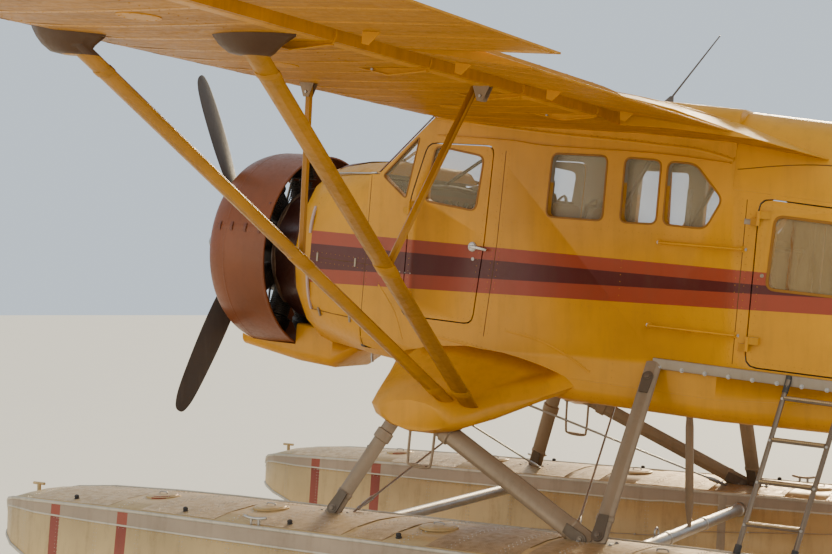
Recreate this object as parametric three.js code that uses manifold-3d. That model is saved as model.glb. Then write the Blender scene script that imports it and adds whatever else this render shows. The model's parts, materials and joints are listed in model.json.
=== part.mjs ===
// High-wing strut-braced bush floatplane with a radial engine, standing on the keels of its twin floats.
// Millimetres. X forward, Y to port, Z up, origin on the floor under the middle of the whole aircraft.
// The floats are built in that level frame. Everything above them is built in the fuselage's own frame,
// with its origin at the propeller hub, which is turned nose-up and lifted into place by one group.
import * as THREE from "three";
import { mergeVertices } from "three/addons/utils/BufferGeometryUtils.js";
import Module from "manifold-3d";

const wasm = await Module();
wasm.setup();

// Driving sizes of the whole aircraft
const gap = 0.5; // between pieces that touch
const clearance = 8; // round doors and control surfaces
const noseUp = THREE.MathUtils.degToRad(5.2); // fuselage against the float decks
const hubBehindBow = 865; // propeller hub behind the floats' bow line
const overallLength = 10374.9;
const bowX = overallLength / 2;
const hub = { x: bowX - hubBehindBow, z: 2570 };
const deckHeight = 880; // float deck above the keel
const floatSpacing = 1400; // a float's centreline from the aircraft's
const frontFitting = { x: hub.x - 1705, y: 1322, z: deckHeight + 20 };
const rearFitting = { x: frontFitting.x - 1732, y: 1290, z: deckHeight + 20 };

// Fuselage sizes, in its own frame: X is counted from the hub, so it is negative aft
const wall = 50; // side wall, door and roof thickness
const firewallX = -1480;
const cabinEndX = -5300;
const centreEndX = -3925; // rear end of the wing's centre section
const tailEndX = -8820;
const sideY = 680;
const floorTopZ = -560;

// Wing sizes
const leadingEdgeX = -1790;
const noseLineZ = 1026; // the wing's nose at the root
const chord = 2345;
const rootChord = 2640; // the root's trailing edge runs aft and down into the fuselage
const rootDroop = 139;
const halfSpan = 7850;
const dihedral = 0.012;
const incidence = 0.033;
const wingRootY = 692;
const flapInY = 1000;
const surfaceSplitY = 3300;
const aileronOutY = 6900;
const hingeX = -3420;
const bayX = -3355; // rear face of the fixed wing ahead of the surfaces
const flapChord = 598; // behind the hinge
const aileronChord = 718;
const surfaceSlope = 0.083; // flap and aileron in line with the wing
const flapDroop = THREE.MathUtils.degToRad(6.2); // as parked, below that line
// The wing struts' axes pass these places just below the wing's skin
const strutTop = { y: 3850, z: 910, frontX: -2140, rearX: -3081 };
const juryTop = { y: 2420, frontX: -2270, rearX: -3290 };

// Materials
const paint = (color, roughness = 0.45, metalness = 0) =>
  new THREE.MeshStandardMaterial({ color, roughness, metalness });
const yellow = paint(0xe0961a);
const red = paint(0x7c1f12);
const grey = paint(0x8f8f8c, 0.5, 0.4);
const aluminium = paint(0xb5b8ba, 0.42, 0.8);
const steel = paint(0x4c4a48, 0.5, 0.9);
const dark = paint(0x2c2622, 0.6, 0.2);
const cloth = paint(0x4a3a2c, 0.9, 0);
const glass = new THREE.MeshStandardMaterial({
  color: 0xe8e0c8,
  roughness: 0.08,
  metalness: 0,
  transparent: true,
  opacity: 0.35,
});

// Joining and cutting of closed geometries
function toSolid(geometry) {
  const bare = geometry.index ? geometry.toNonIndexed() : geometry.clone();
  bare.deleteAttribute("normal");
  bare.deleteAttribute("uv");
  const merged = mergeVertices(bare, 1e-3);
  return new wasm.Manifold(
    new wasm.Mesh({
      numProp: 3,
      vertProperties: new Float32Array(merged.attributes.position.array),
      triVerts: new Uint32Array(merged.index.array),
    }),
  );
}

function toGeometry(solid) {
  const mesh = solid.getMesh();
  const geometry = new THREE.BufferGeometry();
  geometry.setAttribute(
    "position",
    new THREE.BufferAttribute(new Float32Array(mesh.vertProperties), 3),
  );
  geometry.setIndex(new THREE.BufferAttribute(new Uint32Array(mesh.triVerts), 1));
  const flat = geometry.toNonIndexed();
  flat.computeVertexNormals();
  return flat;
}

const join = (...parts) =>
  toGeometry(parts.map(toSolid).reduce((all, next) => all.add(next)));
const cut = (base, ...tools) =>
  toGeometry(tools.map(toSolid).reduce((rest, tool) => rest.subtract(tool), toSolid(base)));
const common = (a, b) => toGeometry(toSolid(a).intersect(toSolid(b)));
const moved = (geometry, x, y, z) => geometry.clone().translate(x, y, z);

// The other side's copy of a port piece
function mirrored(geometry) {
  const flat = geometry.index ? geometry.toNonIndexed() : geometry.clone();
  const p = flat.attributes.position;
  const out = new Float32Array(p.count * 3);
  for (let i = 0; i < p.count; i += 3)
    [0, 2, 1].forEach((from, to) => {
      out[(i + to) * 3] = p.getX(i + from);
      out[(i + to) * 3 + 1] = -p.getY(i + from);
      out[(i + to) * 3 + 2] = p.getZ(i + from);
    });
  const result = new THREE.BufferGeometry();
  result.setAttribute("position", new THREE.BufferAttribute(out, 3));
  result.computeVertexNormals();
  return result;
}

// Basic closed shapes
function box(x0, x1, y0, y1, z0, z1) {
  const geometry = new THREE.BoxGeometry(x1 - x0, y1 - y0, z1 - z0);
  return geometry.translate((x0 + x1) / 2, (y0 + y1) / 2, (z0 + z1) / 2);
}

const vec = (x, y, z) => new THREE.Vector3(x, y, z);

// The four corners of a level rectangle, as a ring for a loft
const level = (x0, x1, y, half, z) =>
  [[x1, -half], [x1, half], [x0, half], [x0, -half]].map(([x, side]) => vec(x, y + side, z));

// A round rod between two points
function rod(a, b, radius, sides = 10, endRadius = radius) {
  const axis = b.clone().sub(a);
  const geometry = new THREE.CylinderGeometry(endRadius, radius, axis.length(), sides);
  geometry.applyQuaternion(
    new THREE.Quaternion().setFromUnitVectors(vec(0, 1, 0), axis.clone().normalize()),
  );
  const middle = a.clone().add(b).multiplyScalar(0.5);
  return geometry.translate(middle.x, middle.y, middle.z);
}

// A closed skin over rings of equal point count, with a flat end at the first and the last.
// The rings run anticlockwise seen from the end towards which the ring order goes.
function loft(rings) {
  const count = rings[0].length;
  const points = rings.flat();
  const faces = [];
  for (let r = 0; r + 1 < rings.length; r++)
    for (let i = 0; i < count; i++) {
      const a = r * count + i;
      const b = r * count + ((i + 1) % count);
      faces.push(a, b, a + count, b, b + count, a + count);
    }
  const cap = (ring, offset, flip) => {
    const middle = ring.reduce((s, p) => s.add(p), vec(0, 0, 0)).multiplyScalar(1 / count);
    const normal = vec(0, 0, 0);
    ring.forEach((p, i) => {
      const q = ring[(i + 1) % count];
      normal.add(p.clone().sub(middle).cross(q.clone().sub(middle)));
    });
    normal.normalize();
    const across = ring[0].clone().sub(middle).normalize();
    const up = normal.clone().cross(across);
    const flat = ring.map((p) => {
      const d = p.clone().sub(middle);
      return new THREE.Vector2(d.dot(across), d.dot(up));
    });
    THREE.ShapeUtils.triangulateShape(flat, []).forEach(([i, j, k]) =>
      flip ? faces.push(offset + i, offset + k, offset + j) : faces.push(offset + i, offset + j, offset + k),
    );
  };
  cap(rings[0], 0, true);
  cap(rings.at(-1), (rings.length - 1) * count, false);
  const geometry = new THREE.BufferGeometry();
  geometry.setAttribute(
    "position",
    new THREE.Float32BufferAttribute(points.flatMap((p) => [p.x, p.y, p.z]), 3),
  );
  geometry.setIndex(faces);
  const solid = geometry.toNonIndexed();
  const volume = signedVolume(solid);
  return volume < 0 ? turned(solid) : solid;
}

function signedVolume(geometry) {
  const p = geometry.attributes.position;
  const a = vec(0, 0, 0);
  const b = vec(0, 0, 0);
  const c = vec(0, 0, 0);
  let six = 0;
  for (let i = 0; i < p.count; i += 3) {
    a.fromBufferAttribute(p, i);
    b.fromBufferAttribute(p, i + 1);
    c.fromBufferAttribute(p, i + 2);
    six += a.dot(b.cross(c));
  }
  return six;
}

function turned(geometry) {
  const p = geometry.attributes.position;
  for (let i = 0; i < p.count; i += 3) {
    const keep = [p.getX(i + 1), p.getY(i + 1), p.getZ(i + 1)];
    p.setXYZ(i + 1, p.getX(i + 2), p.getY(i + 2), p.getZ(i + 2));
    p.setXYZ(i + 2, ...keep);
  }
  return geometry;
}

// A streamlined strut: round nose, long tail, its chord along X as far as its run allows
function strut(a, b, width, thickness, sides = 12) {
  const axis = b.clone().sub(a).normalize();
  const along = vec(1, 0, 0).addScaledVector(axis, -axis.x).normalize();
  const across = axis.clone().cross(along);
  const ring = (end) =>
    Array.from({ length: sides }, (_, i) => {
      const t = (2 * Math.PI * i) / sides;
      const s = Math.cos(t);
      const taper = s > 0 ? 1 : 1 + 0.35 * s;
      return end
        .clone()
        .addScaledVector(along, (s * width) / 2)
        .addScaledVector(across, (Math.sin(t) * thickness * taper) / 2);
    });
  return loft([ring(a), ring(b)]);
}

// A flat slab over a corner list in the side plane (x, z), between two values of y
function sideSlab(corners, y0, y1) {
  const ring = (y) => corners.map(([x, z]) => vec(x, y, z));
  return loft([ring(y0), ring(y1)]);
}

// A side opening's outline: straight edges with rounded corners, from a list of corners
function rounded(corners, radius, steps = 3) {
  return corners.flatMap(([x, z], i) => {
    const here = new THREE.Vector2(x, z);
    const last = new THREE.Vector2(...corners.at(i - 1));
    const next = new THREE.Vector2(...corners[(i + 1) % corners.length]);
    const start = here.clone().add(last.sub(here).setLength(radius));
    const end = here.clone().add(next.sub(here).setLength(radius));
    return new THREE.QuadraticBezierCurve(start, here, end)
      .getPoints(steps)
      .map((p) => [p.x, p.y]);
  });
}

// Fuselage sections: a box with round corners.
// Columns: x, half width, bottom, top, lower and upper corner radius
const noseSections = [
  [-600, 470, -470, 470, 470, 470],
  [-790, 520, -520, 520, 520, 520],
  [-872, 596, -594, 598, 590, 590],
  [-905, 622, -616, 630, 590, 560],
  [-1020, 640, -636, 652, 560, 520],
  [-1250, 655, -628, 668, 420, 400],
  [firewallX, 664, -612, 672, 260, 330],
];
const cabinSections = [
  [firewallX - gap, 664, -612, 1100, 200, 40],
  [-1850, 678, -625, 1100, 120, 40],
  [-2400, 680, -665, 1100, 90, 40],
  [-3000, 680, -700, 1100, 90, 40],
  [-3930, 680, -690, 1100, 90, 40],
];
const rearSections = [
  [centreEndX - gap, 680, -690, 1060, 90, 230],
  [-4600, 664, -660, 1002, 90, 270],
  [-5300, 606, -590, 928, 110, 310],
  [-6600, 455, -405, 790, 140, 300],
  [-7800, 262, -175, 665, 110, 170],
  [tailEndX, 92, 40, 560, 60, 60],
];

function sectionRing([x, half, bottom, top, low, high], grow = 0, cornerSteps = 4) {
  const h = half + grow;
  const zb = bottom - grow;
  const zt = top + grow;
  const lo = Math.min(low, h, (zt - zb) / 2);
  const hi = Math.min(high, h, (zt - zb) / 2);
  const corners = [
    [h - lo, zb + lo, lo, -90],
    [h - hi, zt - hi, hi, 0],
    [-h + hi, zt - hi, hi, 90],
    [-h + lo, zb + lo, lo, 180],
  ];
  return corners.flatMap(([y, z, r, from]) =>
    Array.from({ length: cornerSteps + 1 }, (_, i) => {
      const t = THREE.MathUtils.degToRad(from + (90 * i) / cornerSteps);
      return vec(x, y + (r - 0.01 * i) * Math.cos(t), z + (r - 0.01 * i) * Math.sin(t));
    }),
  );
}

const hull = (sections, grow = 0) => loft(sections.map((s) => sectionRing(s, grow)));
const lowerSections = [...cabinSections, ...rearSections.slice(1, 3)];
// The same body with straight sides up to the roof
const sideSections = lowerSections.map(([x, half, bottom, , low]) => [x, half, bottom, 1100, low, 40]);

// Wing section: thickness 10.7 % with 2 % camber, counted in parts of the chord from the nose
const stations = [1, 0.8, 0.6, 0.4, 0.25, 0.12, 0.04, 0.01, 0];
function airfoil(thickness = 0.107, camber = 0.02) {
  const half = (t) =>
    5 * thickness *
    (0.2969 * Math.sqrt(t) - 0.126 * t - 0.3516 * t ** 2 + 0.2843 * t ** 3 - 0.1036 * t ** 4);
  const line = (t) =>
    t < 0.4 ? (camber / 0.16) * (0.8 * t - t * t) : (camber / 0.36) * (0.2 + 0.8 * t - t * t);
  const upper = stations.map((t) => [t, line(t) + half(t) + (t === 1 ? 0.001 : 0)]);
  const lower = stations
    .slice(0, -1)
    .reverse()
    .map((t) => [t, line(t) - half(t) - (t === 1 ? 0.001 : 0)]);
  return [...upper, ...lower];
}

// One section of the wing; droop lowers the rear part towards its trailing edge
function wingRing(y, nose, length, thick = 1, droop = 0) {
  const z = noseLineZ + dihedral * (Math.abs(y) - wingRootY);
  return airfoil().map(([t, h]) =>
    vec(
      nose - t * length * Math.cos(incidence) + h * thick * chord * Math.sin(incidence),
      y,
      z - t * length * Math.sin(incidence) + h * thick * Math.sqrt(length * chord) - droop * t ** 4,
    ),
  );
}

// Height of the wing's middle line at a place behind the nose
const wingMidZ = (x, y) =>
  noseLineZ + dihedral * (Math.abs(y) - wingRootY) - (leadingEdgeX - x) * incidence +
  0.0152 * chord;

// Port wing with its bay for flap and aileron. Its root fairing reaches in to the rear fuselage's side.
// Columns: y, nose x, chord, thickness against the root, droop
const wingTable = [
  [wingRootY - 52, leadingEdgeX, rootChord, 1, rootDroop],
  [wingRootY, leadingEdgeX, rootChord, 1, rootDroop],
  [flapInY, leadingEdgeX, chord, 1, 85],
  [flapInY + 250, leadingEdgeX, chord, 1, 0],
  [6900, leadingEdgeX, chord, 1, 0],
  [7350, leadingEdgeX - 60, 2170, 0.9, 0],
  [7640, leadingEdgeX - 210, 1780, 0.7, 0],
  [7790, leadingEdgeX - 420, 1280, 0.45, 0],
  [halfSpan, leadingEdgeX - 700, 700, 0.2, 0],
];
const wingWhole = cut(
  loft(wingTable.map((row) => wingRing(...row))),
  box(centreEndX - 2 * gap, 0, 0, wingRootY, 0, 2000),
  hull(rearSections, gap),
);
const wingBay = box(-5000, bayX, flapInY, aileronOutY, 500, 1500);

// Hinge arms that reach from a fixed piece to a hinge line, and the slots for them
const armWidth = 10;
const armEnd = 20;
function hingeArm(from, at, width = armWidth, end = armEnd) {
  // at: a point on the hinge line, from: a point inside the fixed piece, both at one station y
  const disc = rod(vec(at.x, at.y - width / 2, at.z), vec(at.x, at.y + width / 2, at.z), end, 12);
  const reach = at.clone().sub(from);
  const side = vec(-reach.z, 0, reach.x).setLength(end * 0.8);
  const ring = (y) =>
    [from.clone().add(side), at.clone().add(side), at.clone().sub(side), from.clone().sub(side)].map(
      (p) => vec(p.x, y, p.z),
    );
  return join(disc, loft([ring(at.y - width / 2), ring(at.y + width / 2)]));
}

const hingeSlot = (at, width = armWidth, ahead = 200, behind = 26, height = 200) =>
  box(
    at.x - behind,
    at.x + ahead,
    at.y - width / 2 - gap,
    at.y + width / 2 + gap,
    at.z - height,
    at.z + height,
  );

// A control surface that turns on a line along Y: round nose, straight flanks, thin trailing edge
function surfaceRing(y, x, z, radius, length, drop = 0, tail = 4) {
  const nose = Array.from({ length: 7 }, (_, i) => {
    const t = THREE.MathUtils.degToRad(80 - (160 * i) / 6);
    return [radius * Math.cos(t), radius * Math.sin(t)];
  });
  const outline = [...nose, [-length, -tail], [-length, tail]];
  const c = Math.cos(drop);
  const s = Math.sin(drop);
  return outline.map(([u, w]) => vec(x + u * c - w * s, y, z + u * s + w * c));
}

const flapStations = [1300, 2150, 3000];
const aileronStations = [3700, 5100, 6600];
const hingePoint = (y) => vec(hingeX, y, wingMidZ(hingeX, y));
const flapEnds = [flapInY + 12, surfaceSplitY - 6];
const aileronEnds = [surfaceSplitY + 6, aileronOutY - 12];
const noseRadius = 46;
// Arms and slots on the wing stand square to the hinge line, which rises with the dihedral
const squared = (geometry, at) =>
  moved(moved(geometry, -at.x, -at.y, -at.z).rotateX(Math.atan(dihedral)), at.x, at.y, at.z);

function wingSurface([inner, outer], length, drop, slots) {
  const ring = (y) => surfaceRing(y, hingeX, wingMidZ(hingeX, y), noseRadius, length, drop);
  const slotAt = (y) => squared(hingeSlot(hingePoint(y)), hingePoint(y));
  return cut(loft([ring(inner), ring(outer)]), ...slots.map(slotAt));
}

const flapPort = wingSurface(flapEnds, flapChord, surfaceSlope + flapDroop, flapStations);
const aileronPort = wingSurface(aileronEnds, aileronChord, surfaceSlope, aileronStations);
const surfaceArm = (y) =>
  squared(hingeArm(vec(bayX + 30, y, wingMidZ(bayX, y)), hingePoint(y)), hingePoint(y));
const wingPort = join(
  cut(wingWhole, wingBay),
  ...[...flapStations, ...aileronStations].map(surfaceArm),
);

// Centre section over the cabin: the root's section from side to side, its underside the cabin's ceiling,
// with a fairing on top that runs aft into the rear fuselage's roof. Columns as for the fuselage sections
const roofFairing = [
  [-3130, 560, 1000, 1104, 30, 60],
  [-3425, 640, 930, 1099, 30, 150],
  [centreEndX, 680, 885, 1060, 30, 230],
];
const centreSection = cut(
  join(
    loft([gap - wingRootY, wingRootY - gap].map((y) => wingRing(y, leadingEdgeX, rootChord, 1, rootDroop))),
    hull(roofFairing),
  ),
  box(-6000, centreEndX, -1000, 1000, 0, 2000),
);

// Cabin sides with their openings, in (x, z). The doors fill theirs with a clearance all round
const cockpitDoor = [[-1915, 790], [-1812, 425], [-1812, -320], [-2345, -320], [-2385, 200], [-2400, 790]];
const cabinDoor = [[-4075, 575], [-4075, -360], [-4960, -360], [-4960, 515]];
const quarterPane = [[-1590, 565], [-1848, 822], [-1776, 428]];
const cockpitWindow = [[-1980, 765], [-1925, 425], [-2295, 385], [-2325, 715]];
const rearDoorWindow = [[-4180, 475], [-4165, 85], [-4780, 75], [-4780, 440]];
// Columns: forward top, forward bottom, aft bottom, aft top, with one corner more on the pointed last one
const stripWindows = [
  [[-2800, 755], [-2790, 385], [-3150, 385], [-3150, 755]],
  [[-3270, 752], [-3270, 385], [-3485, 390], [-3485, 745]],
  [[-3535, 742], [-3535, 392], [-3780, 385], [-3865, 555], [-3690, 735]],
];

const offsetOutline = (corners, by) => {
  const cx = corners.reduce((s, c) => s + c[0], 0) / corners.length;
  const cz = corners.reduce((s, c) => s + c[1], 0) / corners.length;
  return corners.map(([x, z]) => [x + Math.sign(x - cx) * by, z + Math.sign(z - cz) * by]);
};

const through = (corners, radius, y0 = 500, y1 = 900) => sideSlab(rounded(corners, radius), y0, y1);
const sideInnerY = sideY - 160;
const sideOuterY = sideY + 40;
const sideTopZ = 950; // above the wing's underside, which cuts the side off
const sideOutline = [
  [firewallX - gap, floorTopZ],
  [firewallX - gap, 560],
  [-1560, 575],
  [-1957, sideTopZ],
  [centreEndX, sideTopZ],
  [centreEndX, 610],
  [cabinEndX + gap, 510],
  [cabinEndX + gap, -440],
  [-4600, -500],
  [-3930, floorTopZ],
];
const innerHull = hull(sideSections.map(([x, half]) => [x, half - wall, -1000, 1300, 60, 40]));
const knuckleY = 698;
const knuckle = (x, z0, z1) => rod(vec(x, knuckleY, z0), vec(x, knuckleY, z1), 11, 10);
const cockpitHingeX = -1826;
const cabinHingeX = -4088;
const cockpitHingeZ = [-230, 330];
const cabinHingeZ = [-270, 420];
const knuckleHeight = 40;
// The fixed half of a door hinge: its knuckle, and a leaf let into the wall ahead of the opening
function hingeHalf(x, z, openingX) {
  const top = z + knuckleHeight;
  return join(
    knuckle(x, z, top),
    box(x, openingX + 30, 683, knuckleY, z, top),
    box(openingX + 4, openingX + 30, 640, knuckleY, z, top),
  );
}
const rail = { front: -3560, rear: -5000, bottom: -427, top: -372, stands: 24 };
const railPort = common(
  hull(sideSections, rail.stands),
  box(rail.rear, rail.front, sideY - 120, sideOuterY, rail.bottom, rail.top),
);
const sidePort = join(
  cut(
    join(common(hull(sideSections), sideSlab(sideOutline, sideInnerY, sideOuterY)), railPort),
    innerHull,
    centreSection,
    moved(centreSection, 0, 0, -gap),
    through(cockpitDoor, 60),
    through(cabinDoor, 70),
    through(quarterPane, 25),
    ...stripWindows.map((w) => through(w, 40)),
  ),
  ...cockpitHingeZ.map((z) => hingeHalf(cockpitHingeX, z, cockpitDoor[1][0])),
  ...cabinHingeZ.map((z) => hingeHalf(cabinHingeX, z, cabinDoor[0][0])),
);

function doorPanel(outline, windowOutline, hingeAt, hingeZ, radius) {
  const blank = common(
    hull(sideSections),
    sideSlab(rounded(offsetOutline(outline, -clearance), radius), sideInnerY, sideOuterY),
  );
  const pads = hingeZ.map((fixedZ) => {
    const low = fixedZ + knuckleHeight + gap;
    const high = fixedZ + 2 * knuckleHeight;
    return join(knuckle(hingeAt, low, high), box(hingeAt - 60, hingeAt, 668, knuckleY, low, high));
  });
  return join(cut(blank, innerHull, through(windowOutline, 45)), ...pads);
}
const cockpitDoorPort = doorPanel(cockpitDoor, cockpitWindow, cockpitHingeX, cockpitHingeZ, 56);
const cabinDoorPort = doorPanel(cabinDoor, rearDoorWindow, cabinHingeX, cabinHingeZ, 66);

// One long pane inside the wall behind the three strip windows
const stripGlass = box(-3900, -2760, sideY - wall - 8, sideY - wall - gap, 350, 790);

// Floor: the belly with its round lower edges, closed across, and the cargo plate between seats and bench
const belowFloor = -900;
const cargoPlate = { front: -2790, rear: -3340, halfWidth: 300, thick: 8 };
const floorSlab = join(
  common(
    hull(lowerSections),
    sideSlab(
      [
        [firewallX - gap, belowFloor],
        [firewallX - gap, floorTopZ - gap],
        [-3930, floorTopZ - gap],
        [-4600, -500 - gap],
        [cabinEndX + gap, -440 - gap],
        [cabinEndX + gap, belowFloor],
      ],
      -900,
      900,
    ),
  ),
  box(
    cargoPlate.rear,
    cargoPlate.front,
    -cargoPlate.halfWidth,
    cargoPlate.halfWidth,
    floorTopZ - 5,
    floorTopZ + cargoPlate.thick,
  ),
);

// Firewall with the instrument panel on a glare shield behind it
const firewallY = 612;
const firewall = join(
  common(
    hull(cabinSections.slice(0, 2)),
    box(firewallX - 30, firewallX - gap, -firewallY, firewallY, floorTopZ, 555),
  ),
  box(-1700, firewallX - 10, -560, 560, 500, 530),
  box(-1700, -1670, -560, 560, 180, 520),
);

// Rear fuselage: the roof of the cabin's rear half runs forward from a hollow tail cone
const rearHull = hull(rearSections);
const roofInside = hull(
  rearSections
    .slice(0, 3)
    .map(([x, half, bottom, top, low, high]) => [
      x > cabinEndX ? x + 20 : x, half - wall, bottom - 600, top - wall, low, high - wall,
    ]),
);
const coneInside = hull(
  rearSections
    .slice(2, 5)
    .map(([x, half, bottom, top, low, high]) => [
      x === cabinEndX ? x + 10 : x, half - wall, bottom + wall, top - wall, low - wall, high - wall,
    ]),
);
const roofEdge = [
  [-3000, 2000],
  [-3000, belowFloor],
  [cabinEndX, belowFloor],
  [cabinEndX, 510 + gap],
  [centreEndX + gap, 610 + gap],
  [centreEndX + gap, 2000],
];
const coneShell = cut(
  rearHull,
  common(roofInside, box(cabinEndX, -3000, -900, 900, -2000, 2000)),
  coneInside,
  sideSlab(roofEdge, -900, 900),
);

// Nose behind the engine: the skin round the accessory bay, and the deck below the windshield
const coamingEndX = -1570;
const noseSection = join(
  hull(noseSections),
  common(
    hull([...noseSections.slice(-2), [coamingEndX, 668, -614, 668, 240, 300]]),
    box(coamingEndX, firewallX + 10, -700, 700, 577, 700),
  ),
);

// Windshield: two flat panes that meet on the centre line. Corners by side: base, foot, head, top
const paneThickness = 8;
const paneCorners = [vec(-1300, 0, 676), vec(-1560, 640, 585), vec(-1950, 661, 954), vec(-1800, 0, 1018)];
function pane(corners, thickness) {
  const normal = corners[1].clone().sub(corners[0]).cross(corners[3].clone().sub(corners[0])).normalize();
  return loft([corners, corners.map((p) => p.clone().addScaledVector(normal, thickness))]);
}
const windshieldHalf = pane(paneCorners, paneThickness);
const windshield = cut(
  join(windshieldHalf, mirrored(windshieldHalf), rod(paneCorners[0], paneCorners[3], 14, 8)),
  noseSection,
  moved(noseSection, 0, 0, gap),
  centreSection,
  moved(centreSection, gap, 0, 0),
  moved(centreSection, 0, 0, -gap),
);

// Cowl ring: a bulged band open at both ends. Columns: x, radius
const cowlProfile = [
  [-680, 694], [-450, 704], [-300, 700], [-190, 670], [-130, 610], [-118, 560], [-140, 540],
  [-200, 590], [-300, 672], [-450, 690], [-680, 684],
];
const turnedOnX = (profile, sides) => {
  const closed = [...profile, profile[0]].map(([x, r]) => new THREE.Vector2(r, x));
  const geometry = new THREE.LatheGeometry(closed, sides);
  geometry.rotateZ(-Math.PI / 2);
  return geometry;
};
const fromAxis = (profile, sides) => {
  const geometry = new THREE.LatheGeometry(profile.map(([x, r]) => new THREE.Vector2(r, x)), sides);
  geometry.rotateZ(-Math.PI / 2);
  return geometry;
};
const facedOut = (geometry) => {
  const flat = geometry.toNonIndexed();
  return signedVolume(flat) < 0 ? turned(flat) : flat;
};
const cowlRing = facedOut(turnedOnX(cowlProfile, 36));

// Radial engine: nose case, crankcase and nine cylinders, carried on the firewall side by a drum
const cylinderCount = 9;
const noseRingX = noseSections[0][0];
const shaftEndX = -62;
// Columns: x, radius
const caseProfile = [
  [noseRingX + gap, 0],
  [noseRingX + gap, 300],
  [-560, 320],
  [-330, 320],
  [-300, 250],
  [-180, 190],
  [-110, 90],
  [shaftEndX, 70],
  [shaftEndX, 0],
];
const cylinderX = -430;
const cylinderTop = 650;
const engineCase = facedOut(fromAxis(caseProfile, 24));
const engineCylinder = (i) => {
  const barrel = new THREE.CylinderGeometry(82, 82, 230, 8).translate(0, 410, 0);
  const head = new THREE.CylinderGeometry(92, 108, 130, 8).translate(0, cylinderTop - 65, 0);
  const one = join(barrel, head);
  one.rotateX(Math.PI / 2 - (2 * Math.PI * i) / cylinderCount);
  return one.translate(cylinderX, 0, 0);
};
const engine = join(engineCase, ...Array.from({ length: cylinderCount }, (_, i) => engineCylinder(i)));

// Brackets from three cylinder heads to the cowl's inner face are part of the cowl's ring
const cowlBracket = (i) => {
  const one = box(-25, 25, -30, 30, cylinderTop + gap, 688);
  one.rotateX(-(2 * Math.PI * i) / cylinderCount);
  return one.translate(cylinderX, 0, 0);
};
const cowl = join(cowlRing, ...[0, 3, 6].map(cowlBracket));

// Cooler and carburettor intake in one duct below the cowl
const chinSections = [
  [-190, 250, -707, -560, 60, 20],
  [-700, 270, -770, -500, 70, 20],
  [-1000, 270, -780, -500, 70, 20],
  [-1190, 250, -640, -500, 50, 20],
];
const chinScoop = cut(
  hull(chinSections),
  fromAxis([[-690, 0], [-690, 706], [-450, 709], [-300, 706], [-190, 677], [-120, 617], [-120, 0]], 40),
  hull(noseSections, gap),
  box(-420, -160, -205, 205, -692, -668),
);

// Exhaust tail pipe low on the starboard side
const exhaust = cut(rod(vec(-800, -380, -430), vec(-1440, -450, -715), 55, 12), hull(noseSections, gap));

// Propeller: hub, dome and three twisted blades
const bladeLength = 1370;
const bladeAngles = [-31, 89, 209]; // from straight up, towards starboard
// Columns: radius, width, thickness, twist from the disc's plane in degrees
const bladeTable = [
  [60, 96, 92, 30],
  [300, 140, 60, 27],
  [520, 190, 36, 20],
  [800, 208, 24, 13],
  [1080, 190, 16, 10],
  [1250, 158, 12, 9],
  [1330, 112, 9, 8],
  [1360, 70, 8, 8],
  [bladeLength, 26, 6, 8],
];
// The leading edge lies ahead, on the starboard side of an upright blade
function blade(degrees) {
  const rings = bladeTable.map(([r, width, thick, twist]) => {
    const a = THREE.MathUtils.degToRad(twist);
    return Array.from({ length: 8 }, (_, i) => {
      const t = (2 * Math.PI * i) / 8;
      const u = (Math.cos(t) * width) / 2;
      const w = (Math.sin(t) * thick) / 2;
      return vec(u * Math.sin(a) + w * Math.cos(a), w * Math.sin(a) - u * Math.cos(a), r);
    });
  });
  return loft(rings).rotateX(THREE.MathUtils.degToRad(degrees));
}
// Columns: x, radius
const hubProfile = [
  [shaftEndX + gap, 0],
  [shaftEndX + gap, 95],
  [-40, 120],
  [60, 120],
  [90, 92],
  [300, 88],
  [360, 62],
  [395, 30],
  [400, 0],
];
const propeller = join(facedOut(fromAxis(hubProfile, 20)), ...bladeAngles.map(blade));

// Tail. Fin and rudder lie in the middle plane, with the hinge line at rudderX
const rudderX = -8890;
// Columns: height, nose x, thickness
const finSections = [
  [500, -7650, 60],
  [760, -8010, 60],
  [1250, -8300, 52],
  [1680, -8500, 42],
  [1880, -8640, 26],
];
const verticalRing = (z, nose, tail, thick) =>
  [[0, 0], [0.07, 0.36], [0.28, 0.5], [1, 0.42], [1, -0.42], [0.28, -0.5], [0.07, -0.36]].map(([t, k]) =>
    vec(nose + (tail - nose) * t, k * thick, z),
  );
const finHinge = (z) => vec(rudderX, 0, z);
const rudderStations = [420, 1000, 1600];
function zArm(fromX, at, half = 12, end = 16) {
  return join(
    rod(vec(at.x, 0, at.z - half), vec(at.x, 0, at.z + half), end, 12),
    box(at.x, fromX, -end * 0.8, end * 0.8, at.z - half, at.z + half),
  );
}
const zSlot = (at, half = 12) => box(at.x - 22, at.x + 200, -100, 100, at.z - half - gap, at.z + half + gap);
const tailFin = join(
  cut(
    loft(finSections.map(([z, nose, thick]) => verticalRing(z, nose, rudderX + 45, thick))),
    hull(rearSections, gap),
    moved(rearHull, -gap, 0, 0),
  ),
  ...rudderStations.slice(1).map((z) => zArm(rudderX + 60, finHinge(z))),
);
// The lowest rudder hinge is on the tail cone's end
const rearFuselage = join(coneShell, zArm(tailEndX + 10, finHinge(rudderStations[0])));
// Columns: height, chord behind the hinge, nose radius, trailing edge thickness
const rudderTable = [
  [-40, 110, 18, 9],
  [120, 450, 26, 9],
  [600, 545, 28, 8],
  [1200, 550, 26, 7],
  [1640, 460, 20, 6],
  [1860, 290, 14, 5],
  [1930, 120, 9, 4],
];
const rudderRing = ([z, length, radius, tail]) => {
  const nose = Array.from({ length: 5 }, (_, i) => {
    const t = THREE.MathUtils.degToRad(-80 + 40 * i);
    return vec(rudderX + radius * Math.cos(t), radius * Math.sin(t), z);
  });
  return [...nose, vec(rudderX - length, tail / 2, z), vec(rudderX - length, -tail / 2, z)];
};
const rudder = cut(loft(rudderTable.map(rudderRing)), ...rudderStations.map((z) => zSlot(finHinge(z))));

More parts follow.
